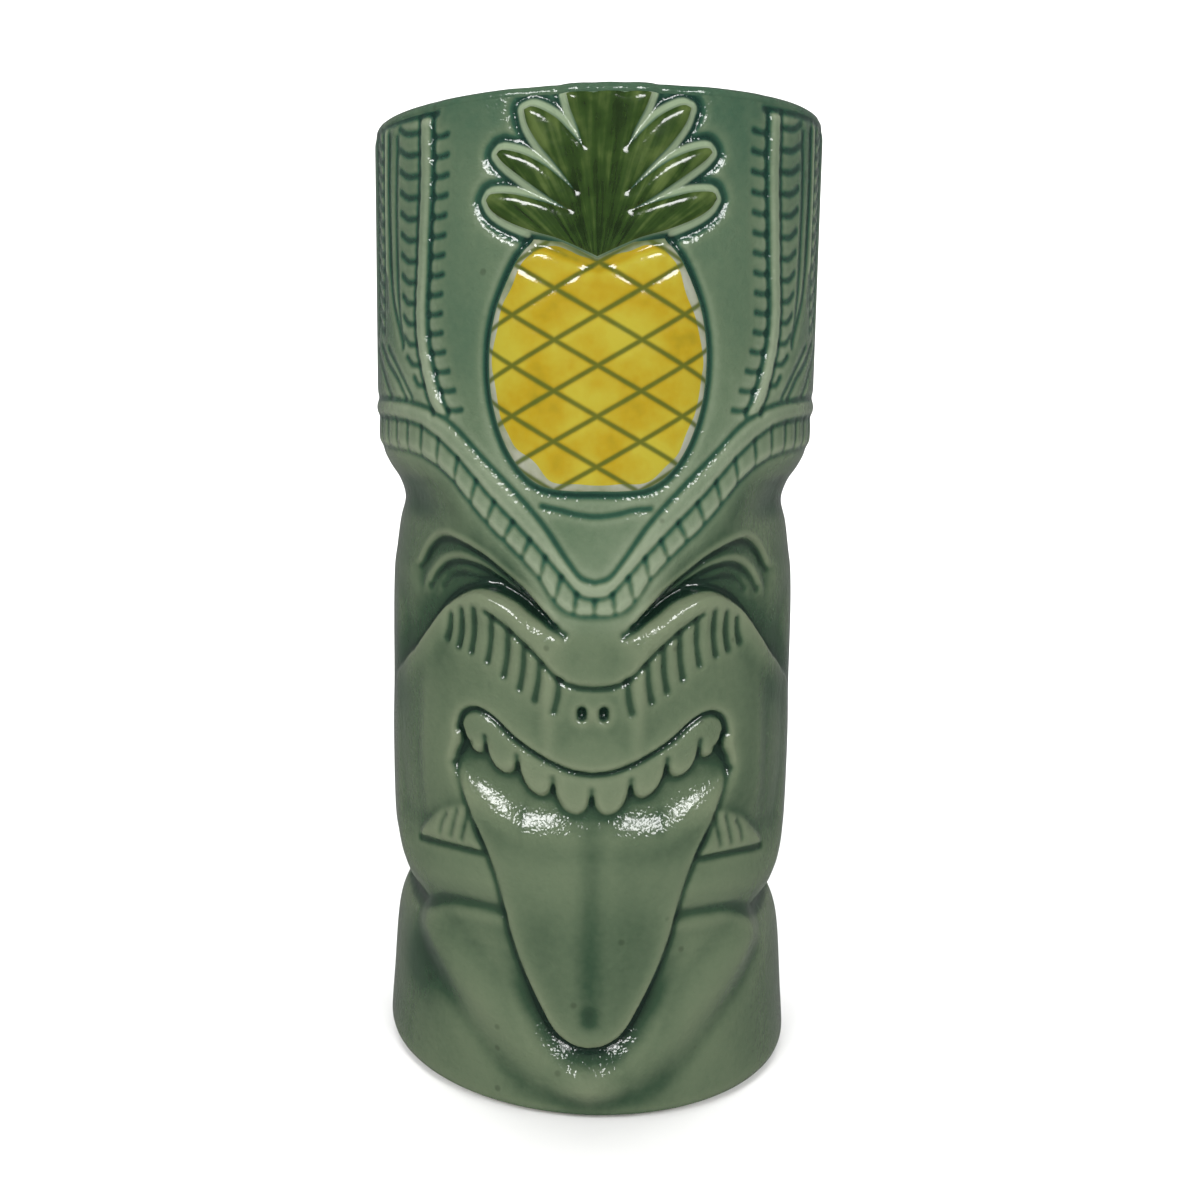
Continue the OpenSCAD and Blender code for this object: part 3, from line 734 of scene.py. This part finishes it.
def tile(name, low, high, left, right, pitch, replaces, slot, lift=None, depth=None, closed=False):
    """A closed piece of the wall inside four edge lines of places.

    Outside, a place (s, z) stands at (r sin a, -r cos a, z) with a = s / drum radius and r read
    from the glaze's surface; behind, a few rows follow the hollow, or the surface at the given depth;
    the rims and sides are closed between the two, or the piece runs right round. lift, if given,
    adds to the outside radius, place by place.
    """
    s, z = patch(low, high, left, right, 41, 41)
    columns = int(round(np.hypot(np.diff(s), np.diff(z)).sum(1).max() / pitch)) + 1
    rows = int(round(np.hypot(np.diff(s, axis=0), np.diff(z, axis=0)).sum(0).max() / pitch)) + 1
    s, z = patch(low, high, left, right, rows, columns)
    r = wall.read(SURFACE, s, z)
    turn = wall.read(SLOPE_S, s, z) * DRUM_R
    a = s / DRUM_R
    normal = np.stack([r * np.sin(a) - turn * np.cos(a), -r * np.cos(a) - turn * np.sin(a),
                       -r * wall.read(SLOPE_Z, s, z)], -1)
    normal /= np.linalg.norm(normal, axis=-1, keepdims=True)
    if lift is not None:
        r = r + lift(s, z)
    back_rows = 11
    s_back, z_back = patch(low, high, left, right, back_rows, columns)
    r_back = wall.read(SURFACE, s_back, z_back) - depth if depth else hollow_radius(z_back) + TILES_FROM
    a_back = s_back / DRUM_R
    inward = np.stack([-np.sin(a_back), np.cos(a_back), np.zeros_like(a_back)], -1)
    front = np.arange(rows * columns).reshape(rows, columns)
    back = rows * columns + np.arange(back_rows * columns).reshape(back_rows, columns)
    points = np.vstack([on_wall(s, z, r), on_wall(s_back, z_back, r_back)])
    normals = np.vstack([normal.reshape(-1, 3), inward.reshape(-1, 3)])
    places = [(s, z), (s_back, z_back)]
    if closed:
        # The last column is the first one again, so it is left out and the faces run on.
        keep = np.concatenate([front[:, :-1].ravel(), back[:, :-1].ravel()])
        number = np.zeros(len(points), int)
        number[keep] = np.arange(len(keep))
        points, normals = points[keep], normals[keep]
        front, back = number[front], number[back]
        front[:, -1], back[:, -1] = front[:, 0], back[:, 0]
        places = [(s[:, :-1], z[:, :-1]), (s_back[:, :-1], z_back[:, :-1])]
    faces = faces_of(front[:-1, :-1], front[:-1, 1:], front[1:, 1:], front[1:, :-1])
    faces += faces_of(back[:-1, :-1], back[1:, :-1], back[1:, 1:], back[:-1, 1:])
    faces += faces_of(front[0, :-1], back[0, :-1], back[0, 1:], front[0, 1:])
    faces += faces_of(front[-1, :-1], front[-1, 1:], back[-1, 1:], back[-1, :-1])
    if not closed:
        # The sides: each outer edge meets the inner row at its share of the height.
        share = (np.arange(rows) * (back_rows - 1)) // (rows - 1)
        moved = np.nonzero(np.diff(share))[0]
        f, b = front[:, -1], back[:, -1]
        faces += faces_of(f[:-1], b[share[:-1]], f[1:])
        faces += faces_of(b[share[moved]], b[share[moved + 1]], f[moved + 1])
        f, b = front[:, 0], back[:, 0]
        faces += faces_of(f[:-1], f[1:], b[share[:-1]])
        faces += faces_of(b[share[moved]], f[moved + 1], b[share[moved + 1]])
    piece = make_mesh(name, points, faces, normals)
    for field, values in FIELDS.items():
        set_field(piece, field, np.concatenate([wall.read(values, *place).ravel() for place in places]))
    return declare(piece, replaces, slot)


def set_field(piece, field, values):
    """Stores one value per point for the finishes to read."""
    layer = piece.data.attributes.new(field, "FLOAT", "POINT")
    layer.data.foreach_set("value", values.astype(np.float32))


def declare(piece, replaces, slot):
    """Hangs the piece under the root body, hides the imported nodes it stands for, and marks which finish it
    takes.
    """
    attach(piece, "root")
    if replaces:
        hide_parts(*replaces)
    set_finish(piece, slot)
    return piece


def turned(name, profile, columns, replaces, slot, rim=None):
    """A closed turned piece. The profile's points are (radius, height, share of the rim's unevenness),
    either from the axis back to the axis or once round a section clear of it."""
    p = np.array(profile, float)
    a = np.linspace(0, 2 * math.pi, columns, endpoint=False)[None, :]
    more_r, more_z = rim(a) if rim else (0 * a, 0 * a)
    r = p[:, 0:1] + p[:, 2:3] * more_r
    z = p[:, 1:2] + p[:, 2:3] * more_z
    points = on_wall(a * DRUM_R + 0 * r, z, r)
    number = np.arange(len(points)).reshape(-1, columns)
    if p[0, 0] > 0:
        number = np.vstack([number, number[:1]])
    onward = np.roll(number, -1, 1)
    if p[0, 0] > 0:
        faces = faces_of(number[:-1], number[1:], onward[1:], onward[:-1])
    else:
        # The first and last rows lie on the axis: each is one point with a fan round it.
        ring, ahead = number[1:-1] - columns + 1, onward[1:-1] - columns + 1
        last = ring.max() + 1
        points = np.vstack([points[:1], points[columns:-columns], points[-1:]])
        faces = faces_of(ring[:-1], ring[1:], ahead[1:], ahead[:-1])
        faces += faces_of(np.zeros(columns, int), ring[0], ahead[0])
        faces += faces_of(np.full(columns, last), ahead[-1], ring[-1])
    piece = make_mesh(name, points, faces)
    set_field(piece, "drum", np.ones(len(points)))
    return declare(piece, replaces, slot)


def moved_out(line, by):
    """A line that runs upwards, moved to its right by a distance square to it."""
    along = np.gradient(line, axis=0)
    outward = np.column_stack([along[:, 1], -along[:, 0]]) / np.hypot(*along.T)[:, None]
    return line + by * outward


# The tongue's tile ends outside the line cut round it, and the mouth's corner is that line's top.
TONGUE_SIDE = np.vstack([[(3.2, LAP_Z)], moved_out(TONGUE[TONGUE[:, 0] > 3], LINE_W)])
CORNER = TONGUE_SIDE[-1]
LIP_HALF = np.vstack([LIP_RISE, [CORNER]])


def part_of(line, low, high):
    """The stretch of a side line between two heights, with its ends cut exactly there."""
    inner = line[(line[:, 1] > low) & (line[:, 1] < high)]
    ends = [(np.interp(z, line[:, 1], line[:, 0]), z) for z in (low, high)]
    return np.vstack([ends[:1], inner, ends[1:]])


def level(s0, s1, z):
    """A level line of places."""
    return np.array([(s0, z), (s1, z)], float)


def upright(s, z0, z1):
    """An upright line of places."""
    return np.array([(s, z0), (s, z1)], float)


def stretch(line, s0, s1):
    """A guide line's stretch between two arcs on the right, with ends cut exactly there."""
    inner = line[(line[:, 0] > s0) & (line[:, 0] < s1)]
    ends = [(s, float(height_on(line, s))) for s in (s0, s1)]
    return np.vstack([ends[:1], inner, ends[1:]])


def mirror_tile(name, low, high, left, right, *rest):
    """A tile and its mirror image, named right_ and left_."""
    pitch, replaces, slot = rest
    tile("right_" + name, low, high, left, right, pitch, ["right_" + k for k in replaces], slot)
    low, high, left, right = (mirrored(k) for k in (low[::-1], high[::-1], right, left))
    tile("left_" + name, low, high, left, right, pitch, ["left_" + k for k in replaces], slot)


# How far apart a tile's points stand: in the teeth, the carved front, the plinth and the plain back.
TEETH_PITCH, FINE, PLINTH_PITCH, PLAIN = 0.2, 0.26, 0.3, 0.42
GLAZE = "celadon_glaze"


def build_the_wall():
    """Every glazed tile of the outside, from the lip down to the foot."""
    ring_top = across(np.vstack([stretch(BAND_TOP, 0, FRONT), [(HALF_ROUND, BAND_Z)]]))
    ring_low = across(np.vstack([stretch(HEM_LOW, 0, FRONT), [(HALF_ROUND, HEM_Z)]]))
    visor = 21.5
    side = upright(visor, height_on(BAND_TOP, visor), SEAM_Z)
    tile("headdress_visor", across(stretch(BAND_TOP, 0, visor)), level(-visor, visor, SEAM_Z),
         mirrored(side), side, FINE, ["headdress_visor"], GLAZE)
    mirror_tile("panel", stretch(BAND_TOP, visor, FRONT), level(visor, FRONT, SEAM_Z), side,
                upright(FRONT, BAND_Z, SEAM_Z), FINE, ["panel", "fringe"], GLAZE)
    tile("headdress_back", level(FRONT, ROUND - FRONT, BAND_Z), level(FRONT, ROUND - FRONT, SEAM_Z),
         upright(FRONT, BAND_Z, SEAM_Z), upright(ROUND - FRONT, BAND_Z, SEAM_Z), PLAIN,
         ["headdress_back"], GLAZE)
    tile("headdress_band", ring_low, ring_top, upright(-HALF_ROUND, HEM_Z, BAND_Z),
         upright(HALF_ROUND, HEM_Z, BAND_Z), FINE, ["headdress_band", "headdress_hem"], GLAZE, closed=True)
    cheek_z, temple_z = 60, 62
    brow_low = np.vstack([[(0, MUZZLE_TOP[0, 1])], stretch(MUZZLE_TOP, 5, 56), [(FRONT, temple_z)]])
    mirror_tile("eye_fold", brow_low, stretch(HEM_LOW, 0, FRONT),
                upright(0, MUZZLE_TOP[0, 1], HEM_LOW[0, 1]), upright(FRONT, temple_z, HEM_Z), FINE,
                ["eye_fold"], GLAZE)
    cheek_low = smooth_line([CORNER, (36, 60.8), (46, 60.2), (FRONT, cheek_z)])
    tile("muzzle", across(np.vstack([LIP_HALF[:-1], cheek_low])), across(brow_low),
         upright(-FRONT, cheek_z, temple_z), upright(FRONT, cheek_z, temple_z), FINE,
         ["muzzle", "nose"], GLAZE)
    side = part_of(TONGUE_SIDE, TEETH_Z, CORNER[1])
    tile("upper_teeth", level(-side[0, 0], side[0, 0], TEETH_Z), across(LIP_HALF), mirrored(side), side,
         TEETH_PITCH, ["upper_teeth"], GLAZE)
    side = part_of(TONGUE_SIDE, LAP_Z, TEETH_Z)
    tile("tongue", level(-side[0, 0], side[0, 0], LAP_Z), level(-side[-1, 0], side[-1, 0], TEETH_Z),
         mirrored(side), side, FINE, ["tongue"], GLAZE)
    side = part_of(TONGUE_SIDE, KNEE_Z, CORNER[1])
    mirror_tile("arm", level(side[0, 0], FRONT, KNEE_Z), cheek_low, side, upright(FRONT, KNEE_Z, cheek_z),
                FINE, ["arm", "hand"], GLAZE)
    side = part_of(TONGUE_SIDE, LAP_Z, KNEE_Z)
    mirror_tile("thigh", level(side[0, 0], FRONT, LAP_Z), level(side[-1, 0], FRONT, KNEE_Z), side,
                upright(FRONT, LAP_Z, KNEE_Z), FINE, ["thigh"], GLAZE)
    tile("torso_back", level(FRONT, ROUND - FRONT, LAP_Z), level(FRONT, ROUND - FRONT, HEM_Z),
         upright(FRONT, LAP_Z, HEM_Z), upright(ROUND - FRONT, LAP_Z, HEM_Z), PLAIN, ["torso_back"], GLAZE)
    tile("plinth", level(-HALF_ROUND, HALF_ROUND, FOOT_H), level(-HALF_ROUND, HALF_ROUND, LAP_Z),
         upright(-HALF_ROUND, FOOT_H, LAP_Z), upright(HALF_ROUND, FOOT_H, LAP_Z), PLINTH_PITCH, ["plinth"],
         GLAZE, closed=True)


# A sheet of paint: how far apart its points stand, how deep its back lies in the wall, and how far
# it sinks where the brush left none.
PAINT_PITCH, PAINT_ROOT, SUNK = 0.165, 1.7, 0.05


def paint_sheet(name, mask, box, slot, thick):
    """A thin sheet of paint: above the surface where the brush left it, sunk just below elsewhere."""
    (s0, z0), (s1, z1) = box
    tile(name, level(s0, s1, z0), level(s0, s1, z1), upright(s0, z0, z1), upright(s1, z0, z1), PAINT_PITCH,
         [name], slot, depth=PAINT_ROOT,
         lift=lambda s, z: (thick + SUNK) * wall.read(PAINT[mask], s, z) - SUNK)


def build_the_paint():
    """The pineapple's three paints."""
    paint_sheet("pineapple_fruit", "fruit", ((-21, 105.5), (21, 150)), "pale_slip", 0.05)
    paint_sheet("pineapple_scales", "scale", ((-20.5, 106), (20.5, 149.5)), "yellow_glaze", 0.1)
    paint_sheet("pineapple_crown", "leaf", ((-21, 142), (21, SEAM_Z)), "leaf_green_glaze", 0.08)


def uneven_rim(a):
    """The lip follows the carved wall below it and waves slightly, as a hand-finished edge does."""
    s = (a * DRUM_R + HALF_ROUND) % ROUND - HALF_ROUND
    wave = 0.1 * np.sin(2 * a + 0.7) + 0.06 * np.sin(5 * a + 2.1)
    return wall.read(SURFACE, s, 0 * s + SEAM_Z) - DRUM_R, wave - 0.1


def build_the_cup():
    """The cup's inside, lip and floor, and the dry foot ring it stands on."""
    floor_z, cove_r, top = 6.2, 2.5, MUG_H
    heights = np.linspace(floor_z + cove_r, 165, 120)
    inside = [(r, z, 0) for r, z in zip(hollow_radius(heights), heights)]
    low_r = inside[0][0]
    floor = [(0, floor_z, 0)] + [(low_r * k, floor_z, 0) for k in (0.25, 0.5, 0.75, 0.9)]
    cove = [(low_r - cove_r + cove_r * math.sin(t), floor_z + cove_r - cove_r * math.cos(t), 0)
            for t in np.linspace(0.2, 1.4, 6)]
    lip_in = [(DRUM_R - 4.5, 167, 0.5), (DRUM_R - 3.9, 168.6, 1), (DRUM_R - 3.3, top - 0.5, 1),
              (DRUM_R - 2.4, top - 0.1, 1), (DRUM_R - 1.5, top, 1), (DRUM_R - 0.8, top - 0.12, 1),
              (DRUM_R - 0.3, top - 0.45, 1), (DRUM_R - 0.06, top - 0.95, 1)]
    lip_out = [(DRUM_R, SEAM_Z - 0.02, 1), (DRUM_R - 0.8, SEAM_Z - 0.5, 1)]
    hidden = [(r + CUP_W, z, 0) for r, z in zip(hollow_radius(heights[::-4]), heights[::-4])]
    foot_r = hidden[-1][0]
    under = [(foot_r, FOOT_H, 0), (foot_r - 1, FOOT_H, 0), (12, FOOT_H, 0), (0, FOOT_H, 0)]
    turned("cup", floor + cove + inside + lip_in + lip_out + hidden + under, 360, ["cup"], GLAZE, uneven_rim)
    outer, inner = FOOT_R, FOOT_R - FOOT_W
    ring = [(inner, FOOT_H + 0.3, 0), (outer, FOOT_H + 0.3, 0), (outer, 0.35, 0), (outer - 0.12, 0.12, 0),
            (outer - 0.35, 0, 0), (inner + 0.35, 0, 0), (inner + 0.12, 0.12, 0), (inner, 0.35, 0)]
    turned("foot_ring", ring, 240, ["foot_ring"], "bare_clay")


build_the_wall()
build_the_paint()
build_the_cup()

# ---------------------------------------------------------------- finishes


def tint(red, green, blue):
    """A colour from its everyday 0-255 values."""
    values = [c / 255 for c in (red, green, blue)]
    return tuple(c / 12.92 if c <= 0.04045 else ((c + 0.055) / 1.055) ** 2.4 for c in values) + (1.0,)


class Wire:
    """A shader socket that takes part in sums."""

    def __init__(self, finish, socket):
        self.finish = finish
        self.socket = socket

    def sum(self, kind, first, second):
        """A Math node over two wires or numbers."""
        return self.finish.add("ShaderNodeMath", {"operation": kind}, {0: first, 1: second})

    def __add__(self, other):
        return self.sum("ADD", self, other)

    def __sub__(self, other):
        return self.sum("SUBTRACT", self, other)

    def __rsub__(self, other):
        return self.sum("SUBTRACT", other, self)

    def __mul__(self, other):
        return self.sum("MULTIPLY", self, other)

    def __lt__(self, other):
        return self.sum("LESS_THAN", self, other)

    __radd__ = __add__

    def between(self, low, high):
        """0 at low, 1 at high, clamped, with soft ends."""
        settings = {"interpolation_type": "SMOOTHSTEP"}
        inputs = {"Value": self, "From Min": low, "From Max": high}
        return self.finish.add("ShaderNodeMapRange", settings, inputs)


class Finish:
    """A material being put together."""

    def __init__(self, name):
        self.material = bpy.data.materials.new(name)
        self.material.use_nodes = True
        self.tree = self.material.node_tree
        self.tree.nodes.clear()

    def add(self, kind, settings=None, inputs=None, output=0):
        """Any node: its settings first (stops fill a ramp), then its inputs, values or wires."""
        node = self.tree.nodes.new(kind)
        for key, value in (settings or {}).items():
            if key == "stops":
                while len(node.color_ramp.elements) < len(value):
                    node.color_ramp.elements.new(0.5)
                for element, (place, colour) in zip(node.color_ramp.elements, value):
                    element.position = place
                    element.color = colour
            else:
                setattr(node, key, value)
        for key, value in (inputs or {}).items():
            if isinstance(value, Wire):
                self.tree.links.new(value.socket, node.inputs[key])
            else:
                node.inputs[key].default_value = value
        return Wire(self, node.outputs[output]) if output is not None else node

    def field(self, name):
        """One of the piece's own fields."""
        return self.add("ShaderNodeAttribute", {"attribute_name": name}, output="Fac")

    def place(self):
        """The place on the object, in millimetres."""
        raw = self.add("ShaderNodeTexCoord", output="Object")
        return self.add("ShaderNodeVectorMath", {"operation": "SCALE"}, {0: raw, "Scale": 1 / MM})

    def noise(self, size, detail=2.0, stretch=(1, 1, 1)):
        """Clouds of the given size in millimetres, stretched by axis."""
        where = self.add("ShaderNodeVectorMath", {"operation": "MULTIPLY"},
                         {0: self.place(), 1: tuple(1 / (size * k) for k in stretch)})
        return self.add("ShaderNodeTexNoise", None, {"Vector": where, "Scale": 1.0, "Detail": detail})

    def height(self):
        """Height above the table, in millimetres."""
        return self.add("ShaderNodeSeparateXYZ", None, {0: self.place()}, output="Z")

    def mix(self, factor, first, second):
        """Two colours mixed."""
        node = {"data_type": "RGBA", "clamp_factor": True}
        inputs = {"Factor": factor, 6: first, 7: second}
        return self.add("ShaderNodeMix", node, inputs, output=2)

    def ramp(self, value, stops):
        """Colours along a value from 0 to 1."""
        return self.add("ShaderNodeValToRGB", {"stops": stops}, {"Fac": value})

    def specks(self, size, share):
        """Round specks of about the given size, one in so many cells, 1 inside and 0 outside."""
        smaller = {0: self.place(), "Scale": 1 / size}
        where = self.add("ShaderNodeVectorMath", {"operation": "SCALE"}, smaller)
        cell = {"Vector": where, "Scale": 1.0}
        near = self.add("ShaderNodeTexVoronoi", None, cell)
        chance = self.add("ShaderNodeTexVoronoi", None, cell, output="Color")
        red = self.add("ShaderNodeSeparateColor", None, {0: chance})
        return (red < share) * (1 - near.between(0.12, 0.3))

    def coat(self, colour, roughness, bump, steps, **constants):
        """The surface shader: colour, roughness and fine relief; anything else is a constant."""
        normal = self.add("ShaderNodeBump", None, {"Height": bump, "Distance": steps})
        inputs = {"Base Color": colour, "Roughness": roughness, "Normal": normal}
        inputs.update({key.replace("_", " "): value for key, value in constants.items()})
        shader = self.add("ShaderNodeBsdfPrincipled", None, inputs)
        self.add("ShaderNodeOutputMaterial", None, {"Surface": shader}, output=None)
        return self.material


SHEEN = {"IOR": 1.4, "Coat_Weight": 0.15, "Coat_Roughness": 0.05}
RIPPLE = 0.16 * MM


def celadon():
    """Half-clear green glaze: pale where it thins on the ridges, deep teal where it pools, with painted shade
    and painted light by region from the shade field.
    """
    f = Finish(GLAZE)
    pool, wide, height = f.field("pool"), f.field("wide"), f.height()
    clouds = f.noise(16, 3.0, (1, 1, 1.6)) - 0.5
    grain = f.noise(1.3, 2.0) - 0.5
    depth = pool * 1.7 + wide * 0.35 + clouds * 0.3 + grain * 0.1
    # The shade field is painted shade, or painted light where it is below 0, laid into both ramps.
    drum = f.ramp((depth + f.field("shade") + clouds * 0.15 + (height - 125) * 0.0035) * 0.8 + 0.3,
                  [(0.0, tint(106, 116, 96)), (0.28, tint(72, 87, 67)), (0.5, tint(37, 64, 49)),
                   (0.8, tint(12, 38, 30))])
    figure = f.ramp((depth - pool * 0.5 + f.field("shade")) * 0.8 + 0.3,
                    [(0.0, tint(90, 99, 78)), (0.28, tint(74, 86, 66)), (0.5, tint(38, 56, 40)),
                     (0.85, tint(16, 32, 24))])
    base = f.mix(f.field("drum"), figure, drum)
    base = f.mix(f.field("margin").between(0.2, 0.9) * 0.75, base, tint(124, 138, 112))
    base = f.mix(f.specks(2.6, 0.04) * 0.35, base, tint(24, 32, 20))
    roughness = 0.09 + f.noise(9) * 0.07
    ripple = f.noise(3.2, 2.0) * 0.5 + f.noise(0.75, 1.0) * 0.85
    return f.coat(base, roughness, ripple, RIPPLE, **SHEEN)


def brushed(name, stops, size, pooling, fan=False):
    """Brushed glaze: streaks of colour, darker where it pools. fan lays the streaks along the leaves
    and darkens them towards their foot."""
    f = Finish(name)
    foot = 0
    if fan:
        foot = (1 - f.field("reach").between(3, 20)) * 0.2
        across_leaf, along = f.field("fan") * (30 / size), f.field("reach") * (0.12 / size)
        where = f.add("ShaderNodeCombineXYZ", None, {0: across_leaf, 1: along})
        streaks = f.add("ShaderNodeTexNoise", None, {"Vector": where, "Scale": 1.0, "Detail": 3.0})
    else:
        streaks = f.noise(size, 3.0)
    clouds = (f.noise(size * 2.5, 1.0) - 0.5) * 0.5
    grain = (f.noise(1.8, 2.0) - 0.5) * 0.25
    x = streaks + clouds + grain - f.field("pool") * pooling - foot
    colour = f.mix(f.field("line") * 0.9, f.ramp(x, stops), tint(58, 68, 20))
    roughness = 0.1 + f.noise(7) * 0.08
    ripple = f.noise(2.4, 2.0) * 0.5 + f.noise(0.8, 1.0) * 0.2
    return f.coat(colour, roughness, ripple, RIPPLE, **SHEEN)


def clay():
    """Bare fired clay."""
    f = Finish("bare_clay")
    x = f.noise(3, 4.0)
    colour = f.ramp(x, [(0.3, tint(176, 164, 140)), (0.7, tint(206, 196, 174))])
    return f.coat(colour, 0.75 + x * 0.15, f.noise(0.5, 2.0), 0.1 * MM)


SLIP = [(0.0, tint(46, 66, 42)), (0.3, tint(88, 98, 72)), (0.5, tint(112, 116, 94)),
        (0.75, tint(126, 128, 114))]
YELLOW = [(0.0, tint(70, 74, 18)), (0.2, tint(116, 102, 16)), (0.4, tint(133, 112, 18)),
          (0.7, tint(138, 128, 36))]
LEAF = [(0.25, tint(14, 28, 6)), (0.5, tint(32, 50, 16)), (0.75, tint(64, 78, 38))]
FINISHES = {
    GLAZE: celadon(),
    "pale_slip": brushed("pale_slip", SLIP, 4, 1.5),
    "yellow_glaze": brushed("yellow_glaze", YELLOW, 7, 1.6),
    "leaf_green_glaze": brushed("leaf_green_glaze", LEAF, 2.6, 0.7, fan=True),
    "bare_clay": clay(),
}
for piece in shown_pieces():
    if piece.get("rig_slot") in FINISHES and piece.type == "MESH":
        piece.data.materials.clear()
        piece.data.materials.append(FINISHES[piece["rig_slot"]])


# ---------------------------------------------------------------- table, light and camera


def table_paint():
    """A plain pale finish, very slightly uneven."""
    f = Finish("table_paint")
    cool, warm = (0.82, 0.82, 0.82, 1), (0.82 * 1.01, 0.82 * 1.01, 0.82, 1)
    return f.coat(f.ramp(f.noise(300), [(0.4, cool), (0.6, warm)]), 0.8, f.noise(4), 0.0)


def set_the_table():
    """A round pale table whose edge sweeps up all round, so that no edge shows behind the mug."""
    flat_r, sweep_r = 0.9, 0.6
    section = [(0.0, 0.0), (0.5, 0.0), (flat_r, 0.0)]
    for t in np.linspace(0.1, math.pi / 2, 16):
        section.append((flat_r + sweep_r * math.sin(t), sweep_r - sweep_r * math.cos(t)))
    section.append((flat_r + sweep_r, 1.4))
    a = np.linspace(0, 2 * math.pi, 97)[:-1]
    points = [(r * math.sin(t), -r * math.cos(t), z - 0.0002) for r, z in section for t in a]
    number = np.arange(len(points)).reshape(len(section), -1)
    onward = np.roll(number, -1, 1)
    mesh = bpy.data.meshes.new("table")
    mesh.from_pydata(points, [], faces_of(number[:-1], number[1:], onward[1:], onward[:-1]))
    mesh.polygons.foreach_set("use_smooth", np.ones(len(mesh.polygons), bool))
    table = bpy.data.objects.new("table", mesh)
    bpy.context.scene.collection.objects.link(table)
    mesh.materials.append(table_paint())
    table.visible_glossy = False


def light(name, place, target, size, power, mirrored_in_glaze=True):
    """A soft rectangular light at a place, turned to a target."""
    data = bpy.data.lights.new(name, "AREA")
    data.shape = "RECTANGLE"
    data.size, data.size_y = size
    data.energy = power
    lamp = bpy.data.objects.new(name, data)
    bpy.context.scene.collection.objects.link(lamp)
    lamp.location = place
    lamp.rotation_mode = "QUATERNION"
    lamp.rotation_quaternion = (Vector(target) - Vector(place)).to_track_quat("-Z", "Y")
    lamp.visible_glossy = mirrored_in_glaze


set_the_table()
light("key_left", (-0.36, -0.6, 0.5), (0, 0, 0.06), (0.3, 0.2), 4.5)
light("key_right", (0.34, -0.6, 0.49), (0, 0, 0.06), (0.26, 0.2), 3.6)
light("front", (0.0, -1.2, 0.35), (0, 0, 0.09), (0.9, 0.6), 5.0, False)
light("backdrop", (0.0, 0.35, 1.15), (0, 1.3, 0.25), (1.4, 0.4), 26.0, False)

scene = bpy.context.scene
scene.view_settings.view_transform = "Standard"
world = bpy.data.worlds.new("room")
world.use_nodes = True
world.node_tree.nodes["Background"].inputs["Color"].default_value = (1, 1, 1, 1)
world.node_tree.nodes["Background"].inputs["Strength"].default_value = 0.2
scene.world = world

TURN, TIP = math.radians(-3.925), math.radians(8.186)
camera = bpy.data.objects.new("camera", bpy.data.cameras.new("camera"))
scene.collection.objects.link(camera)
camera.location = (-0.00476, -0.23735, 0.1255)
camera.rotation_mode = "QUATERNION"
sight = Vector((math.sin(TURN) * math.cos(TIP), math.cos(TURN) * math.cos(TIP), -math.sin(TIP)))
camera.rotation_quaternion = sight.to_track_quat("-Z", "Y")
camera.data.lens = 37.57
camera.data.shift_x = 0.1
camera.data.shift_y = -0.0333
camera.data.clip_start = 0.01
scene.camera = camera
